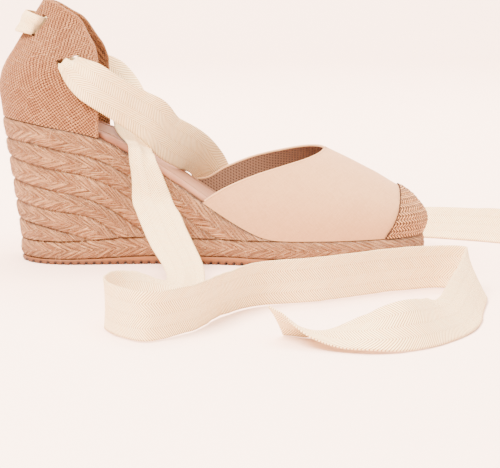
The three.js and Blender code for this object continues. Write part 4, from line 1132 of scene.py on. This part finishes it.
def panel_grid(rows, columns, inset):
    """Grid of the back panel from the foot bed up to its point."""
    shares = np.linspace(-1, 1, columns)
    base = np.full(columns, SEAT_HEIGHT)
    for _ in range(8):
        at_x = np.array([panel_ring(z, np.array([w]), inset)[0][0] for z, w in zip(base, shares)])
        base = seat_below(at_x) + GAP
    heights = np.linspace(PANEL_LOW, BACK_TOP, 260)
    rings = [panel_ring(z, shares, inset) for z in heights]
    grids = [np.array([ring[k] for ring in rings]) for k in range(3)]
    grids[2] = grids[2] * shares
    z = mix(base[None, :], BACK_TOP, np.linspace(0, 1, rows)[:, None])
    x, y, run = (np.stack([np.interp(z[:, k], heights, grid[:, k]) for k in range(columns)], 1)
                 for grid in grids)
    return stack(x, y, z), stack(run, z)


def off_slots(points):
    """True where a face of the back panel lies off its side slots and its back slots."""
    middle = (points[:-1, :-1] + points[1:, 1:]) / 2
    keep = np.ones(middle.shape[:2], bool)
    for x_mid, z_mid, tilt in SLOTS:
        dx, dz = middle[..., 0] - x_mid, middle[..., 2] - z_mid
        cosine, sine = math.cos(math.radians(tilt)), math.sin(math.radians(tilt))
        in_slot = np.abs(dx * cosine + dz * sine) < SLOT_LONG / 2
        in_slot &= np.abs(dz * cosine - dx * sine) < SLOT_HIGH / 2
        keep &= ~(in_slot & (np.abs(middle[..., 1]) > 3.0))
    return keep


def respace(line, count):
    """The same line of points with another number of steps."""
    at, new = np.linspace(0, 1, len(line)), np.linspace(0, 1, count)
    return np.stack([np.interp(new, at, line[:, k]) for k in range(line.shape[1])], -1)


class EspadrilleBackPanel(Step, bpy.types.Operator):
    """Burlap back panel with its rolled edge, slots and lining"""

    bl_idname = "espadrille.back_panel"
    bl_label = "Back panel"

    def build(self, sizes, colours):
        points, uv = panel_grid(200, 340, 0.0)
        u, v = uv[..., 0], uv[..., 1]
        uv = uv + 1.3 * (stack(murmur(u / 7, v / 7, 11), murmur(u / 6, v / 8, 12)) - 0.5)
        pitch, turned = sizes.burlap_pitch, math.radians(BURLAP_TURN)
        cosine, sine = math.cos(turned) / pitch, math.sin(turned) / pitch
        warp = uv[..., 0] * cosine + uv[..., 1] * sine
        weft = uv[..., 1] * cosine - uv[..., 0] * sine
        over = np.mod(np.floor(warp) + np.floor(weft), 2)
        hump = np.maximum(np.sin(np.pi * np.mod(warp, 1)) * (0.45 + 0.55 * over),
                          np.sin(np.pi * np.mod(weft, 1)) * (1 - 0.55 * over))
        normal = grid_normals(points)
        outward = np.sign(np.sum(normal * (points - np.array(PANEL_INSIDE)), -1, keepdims=True))
        from_x, from_z = points[..., 0] - DENT_AT[0], points[..., 2] - DENT_AT[1]
        near_slot = np.exp(-(from_x ** 2 / 90 + from_z ** 2 / 30))
        pucker = 0.5 * near_slot * np.sin(points[..., 0] * 1.3)
        points = points + normal * outward * (0.45 * hump - 0.3 + pucker)[..., None]
        swatches = (colours.burlap, colours.burlap_light, colours.burlap_hole)
        burlap = plain_weave_finish("burlap", pitch, turned, swatches, 0.4, 1.5, 1.3)
        inner, inner_uv = panel_grid(80, 120, COUNTER_WALL)
        panel = Sheets().add(points, uv, off_slots(points), flip=True)
        panel.add(inner, inner_uv, off_slots(inner))
        panel.strip(respace(inner[0], points.shape[1]), points[0], uv[0], uv[0])
        panel.piece("burlap_panel", "burlap", burlap, ["heel_counter"])
        edge, inside = (np.concatenate([respace(grid[:, 0], 150), respace(grid[-1], 60),
                                        respace(grid[::-1, -1], 150)]) for grid in (points, inner))
        hem = plain_weave_finish("hem_burlap", pitch, math.radians(HEM_TURN), swatches, 0.4, 0.8)
        piping("rolled_edge", (edge + inside) / 2, PANEL_ROLL, "burlap", hem, squash=inside - edge, sides=12)


def catmull(rows, count):
    """Points and width data along a centripetal curve through the rows."""
    rows = np.array(rows, float)
    points = rows[:, :3]
    guarded = np.vstack([2 * points[0] - points[1], points, 2 * points[-1] - points[-2]])
    spans = len(points) - 1
    curve = []
    for t in np.linspace(0, 1, count):
        i = min(spans - 1, int(t * spans))
        w = t * spans - i
        a, b, c, d = guarded[i:i + 4]
        before, here, after = (np.linalg.norm(q - p) ** 0.5 for p, q in ((a, b), (b, c), (c, d)))
        start = ((b - a) / before - (c - a) / (before + here) + (c - b) / here) * here
        stop = ((c - b) / here - (d - b) / (here + after) + (d - c) / after) * here
        curve.append(b + start * w + (-3 * b + 3 * c - 2 * start - stop) * w**2
                     + (2 * b - 2 * c + start + stop) * w**3)
    reach = run_along(points)
    keys = np.linspace(0, 1, len(points))
    facts = Table("at a b c d", np.column_stack([reach, rows[:, 3:]]))
    at = np.interp(np.linspace(0, 1, count), keys, reach)
    return np.array(curve), np.stack([facts.value(name, at) for name in "abcd"], -1)


def ribbon(name, rows, finish, nodes, per_metre=900, pleats=0.09):
    """Flat tape along a route; where it is narrower than its width it lies in soft pleats."""
    rows = np.array(rows, float)
    rows[:, :3] = (rows[:, :3] + np.array(DRAWN_AT)) * 1000
    middle, facts = catmull(rows, int(run_along(rows[:, :3])[-1] * per_metre / 1000))
    heading = unit(np.gradient(middle, axis=0))
    wide = square_to(facts[:, :3], heading)
    face = np.cross(heading, wide)
    part = facts[:, 3]
    half = RIBBON_WIDTH * part / 2
    low = middle[:, 2] - np.abs(wide[:, 2]) * half - np.abs(face[:, 2]) * RIBBON_THICK / 2
    middle[:, 2] += np.maximum(0, FLOOR_GAP - low)
    run = run_along(middle)
    across = np.linspace(-1, 1, 21)[None, :]
    pleat = RIBBON_WIDTH * pleats * np.clip(1 - part, 0, 1)[:, None]
    wave = pleat * np.cos(1.6 * np.pi * across + 0.9)
    ripple = 0.5 * (murmur(run / 9.0, 0 * run, 21)[:, None] - 0.5) * across**2
    ripple = ripple + 0.5 * (murmur(run / 6.0, 0 * run, 22)[:, None] - 0.5) * across
    camber = 0.5 * (1 - across**2) * part[:, None]
    lift = wave + (ripple + camber) * smooth(0.6, 0.9, part)[:, None]
    spread = middle[:, None, :] + wide[:, None, :] * (half[:, None] * across)[..., None]
    top = spread + face[:, None, :] * (lift + RIBBON_THICK / 2)[..., None]
    bottom = spread + face[:, None, :] * (lift - RIBBON_THICK / 2)[..., None]
    for skin in (top, bottom):
        skin[..., 2] = np.maximum(skin[..., 2], 0.05)
    uv = stack(run[:, None], across * RIBBON_WIDTH / 2 + RIBBON_WIDTH)
    tape = Sheets().add(top, uv).add(bottom, uv, flip=True)
    all_of = slice(None)
    for at, flip in (((all_of, 0), False), ((all_of, -1), True), (0, True), (-1, False)):
        tape.strip(top[at], bottom[at], uv[at], uv[at], flip)
    piece = tape.piece(name, "ribbon", finish, nodes, shift=False)
    return piece, middle * MM, run[-1] * MM


class EspadrilleTies(Step, bpy.types.Operator):
    """Two flat cotton ties and the loop at the back"""

    bl_idname = "espadrille.ties"
    bl_label = "Cotton ties"

    def build(self, sizes, colours):
        swatches = (colours.tape, colours.tape_light, colours.tape_line)
        tape = herringbone_finish("herringbone_tape", RIBBON_WIDTH / 4, sizes.twill_pitch, 0.9, swatches, 0.3,
                                  1.1, 0.12)
        for name, rows, node in (("near_ribbon", NEAR_TIE, "tie_near"), ("far_ribbon", FAR_TIE, "tie_far")):
            piece, path, length = ribbon(name, rows, tape, [node])
        inner = [(x, -y, z, wx, -wy, wz, part) for x, y, z, wx, wy, wz, part in HEEL_LOOP[:-1]]
        ribbon("heel_loop_ribbon", HEEL_LOOP + inner[::-1], tape, ["heel_loop"], per_metre=1500, pleats=0.03)


def hair(rng, root, outward, lie, length, radius):
    """Three-sided tube of one loose fibre that lies along the surface and lifts at its end."""
    bend = 0.12 + 0.35 * rng.random()
    side = lie.cross(outward).normalized()
    up = side.cross(lie).normalized()
    points = []
    for k, t in enumerate((0, 0.35, 0.7, 1.0)):
        middle = root + lie * (length * t) + outward * (length * bend * t * t)
        for turn in (0, 2 * math.pi / 3, 4 * math.pi / 3):
            point = middle + (side * math.cos(turn) + up * math.sin(turn)) * radius * (1 - 0.28 * k)
            points.append((point.x, point.y, max(point.z, HAIR_CLEAR * MM)))
    return points


class EspadrilleHairs(Step, bpy.types.Operator):
    """Loose jute fibres on the braids and the burlap"""

    bl_idname = "espadrille.hairs"
    bl_label = "Loose fibres"

    def build(self, sizes, colours):
        rng = random.Random(11)
        points, faces = [], []
        for name, share in HAIRY:
            mesh = bpy.data.objects[name].data
            made = 0
            while made < int(sizes.hair_count * share):
                vertex = mesh.vertices[rng.randrange(len(mesh.vertices))]
                normal = vertex.normal.copy()
                if abs(normal.z) > 0.7:
                    made += 1
                    continue
                flat = Vector((rng.uniform(-1, 1), rng.uniform(-1, 1), rng.uniform(-0.6, 0.6)))
                lie = flat - normal * flat.dot(normal)
                if lie.length < 0.1:
                    continue
                lie.normalize()
                root = vertex.co - normal * 0.05 * MM
                base = len(points)
                points += hair(rng, root, normal, lie,
                               rng.uniform(*HAIR_LENGTH) * MM, rng.uniform(*HAIR_RADIUS) * MM)
                for k in range(base, base + 9, 3):
                    faces += [(k + j, k + (j + 1) % 3, k + (j + 1) % 3 + 3, k + j + 3) for j in range(3)]
                made += 1
        mesh = bpy.data.meshes.new("jute_hairs")
        mesh.from_pydata(points, [], faces)
        finish = smooth_finish("hair_jute", colours.jute_straw, colours.jute_light, 0.8, 60.0, 0.01)
        mesh.materials.append(finish)
        place(bpy.data.objects.new("jute_hairs", mesh))


class EspadrilleStage(Step, bpy.types.Operator):
    """Camera at the photographed angle, soft lights and a pale floor"""

    bl_idname = "espadrille.stage"
    bl_label = "Camera, lights and floor"

    def build(self, sizes, colours):
        scene = bpy.context.scene
        camera = bpy.data.cameras.new("camera")
        camera.sensor_width = 36.0
        camera.lens = camera.sensor_width * FOCAL_SHARE
        camera.clip_start, camera.clip_end = 0.05, 50.0
        view = bpy.data.objects.new("camera", camera)
        view.location = EYE + DRAWN_AT
        view.rotation_euler = (math.radians(90 - LOOK_DOWN), 0, 0)
        scene.collection.objects.link(view)
        scene.camera = view
        for facts in LAMPS:
            self.lamp(*facts)
        world = bpy.data.worlds.new("studio")
        world.use_nodes = True
        background = world.node_tree.nodes["Background"]
        background.inputs["Color"].default_value = SKY_COLOUR
        background.inputs["Strength"].default_value = SKY_STRENGTH
        scene.world = world
        self.floor(colours)

    def lamp(self, name, where, size, power, aim):
        light = bpy.data.lights.new(name, "AREA")
        light.size = size
        light.energy = power
        light.color = LAMP_COLOUR
        lamp = bpy.data.objects.new(name, light)
        lamp.location = where
        lamp.rotation_euler = (Vector(aim) - Vector(where)).to_track_quat("-Z", "Y").to_euler()
        bpy.context.scene.collection.objects.link(lamp)

    def floor(self, colours):
        """A floor that sweeps up behind the shoe, with a painted shadow, a little darker and warmer, near it.
        """
        turn = np.linspace(0, np.pi / 2, 16)[1:]
        wall = FLOOR_BACK + SWEEP
        run = np.concatenate([np.linspace(FLOOR_FRONT, FLOOR_BACK, 12), FLOOR_BACK + SWEEP * np.sin(turn),
                              [wall, wall]])
        rise = np.concatenate([np.zeros(12), SWEEP * (1 - np.cos(turn)), [WALL_HIGH / 2, WALL_HIGH]])
        across = np.linspace(-FLOOR_HALF, FLOOR_HALF, 9)[:, None]
        sweep = Sheets().add(stack(across, run[None, :], rise[None, :]), stack(across, run[None, :]))
        finish = Cloth("backdrop", 0.9)
        grain = finish.noise(finish.position(), 3.0)
        colour = finish.blend(grain, colours.backdrop, tuple(c * 0.985 for c in colours.backdrop))
        # Painted shadow: the floor turns darker and warmer round the shoe
        along_x, along_y, _ = finish.split(finish.position())
        u, v = along_x / SHADOW_LONG, (along_y - SHADOW_BACK) / SHADOW_DEEP
        near = 0.75 * (1.0 - finish.ease(u * u + v * v, 0.1, 1.3))
        shadow_colour = tuple(c * k for c, k in zip(colours.backdrop, SHADOW_TINT))
        colour = finish.blend(near, colour, shadow_colour)
        mesh = bpy.data.meshes.new("floor")
        mesh.from_pydata(sweep.points[0].tolist(), [], sweep.faces[0].tolist())
        mesh.materials.append(finish.finish(colour, grain, 0.02, 0.1))
        for polygon in mesh.polygons:
            polygon.use_smooth = True
        floor = bpy.data.objects.new("floor", mesh)
        bpy.context.scene.collection.objects.link(floor)


class EspadrillePanel(bpy.types.Panel):
    """Lists the steps that build the espadrille"""

    bl_idname = "VIEW3D_PT_espadrille"
    bl_label = "Espadrille"
    bl_space_type = "VIEW_3D"
    bl_region_type = "UI"
    bl_category = "Espadrille"

    def draw(self, context):
        column = self.layout.column()
        for step in STEPS:
            column.operator(step.bl_idname)
        for group in (context.scene.espadrille_sizes, context.scene.espadrille_colours):
            for name in group.__annotations__:
                column.prop(group, name)


STEPS = (
    EspadrilleStage, EspadrilleTies, EspadrilleOutsole, EspadrilleBaseBraid, EspadrilleWedge,
    EspadrilleInsole, EspadrilleVamp, EspadrilleToeCap, EspadrilleBackPanel, EspadrilleHairs,
)
CLASSES = (EspadrilleSizes, EspadrilleColours, *STEPS, EspadrillePanel)


def register():
    for one in CLASSES:
        bpy.utils.register_class(one)
    bpy.types.Scene.espadrille_sizes = bpy.props.PointerProperty(type=EspadrilleSizes)
    bpy.types.Scene.espadrille_colours = bpy.props.PointerProperty(type=EspadrilleColours)


def unregister():
    del bpy.types.Scene.espadrille_colours
    del bpy.types.Scene.espadrille_sizes
    for one in reversed(CLASSES):
        bpy.utils.unregister_class(one)


def main():
    register()
    for step in STEPS:
        group, name = step.bl_idname.split(".")
        if getattr(getattr(bpy.ops, group), name)() != {"FINISHED"}:
            raise RuntimeError(f"{step.bl_label} could not be built")


if __name__ == "__main__":
    main()
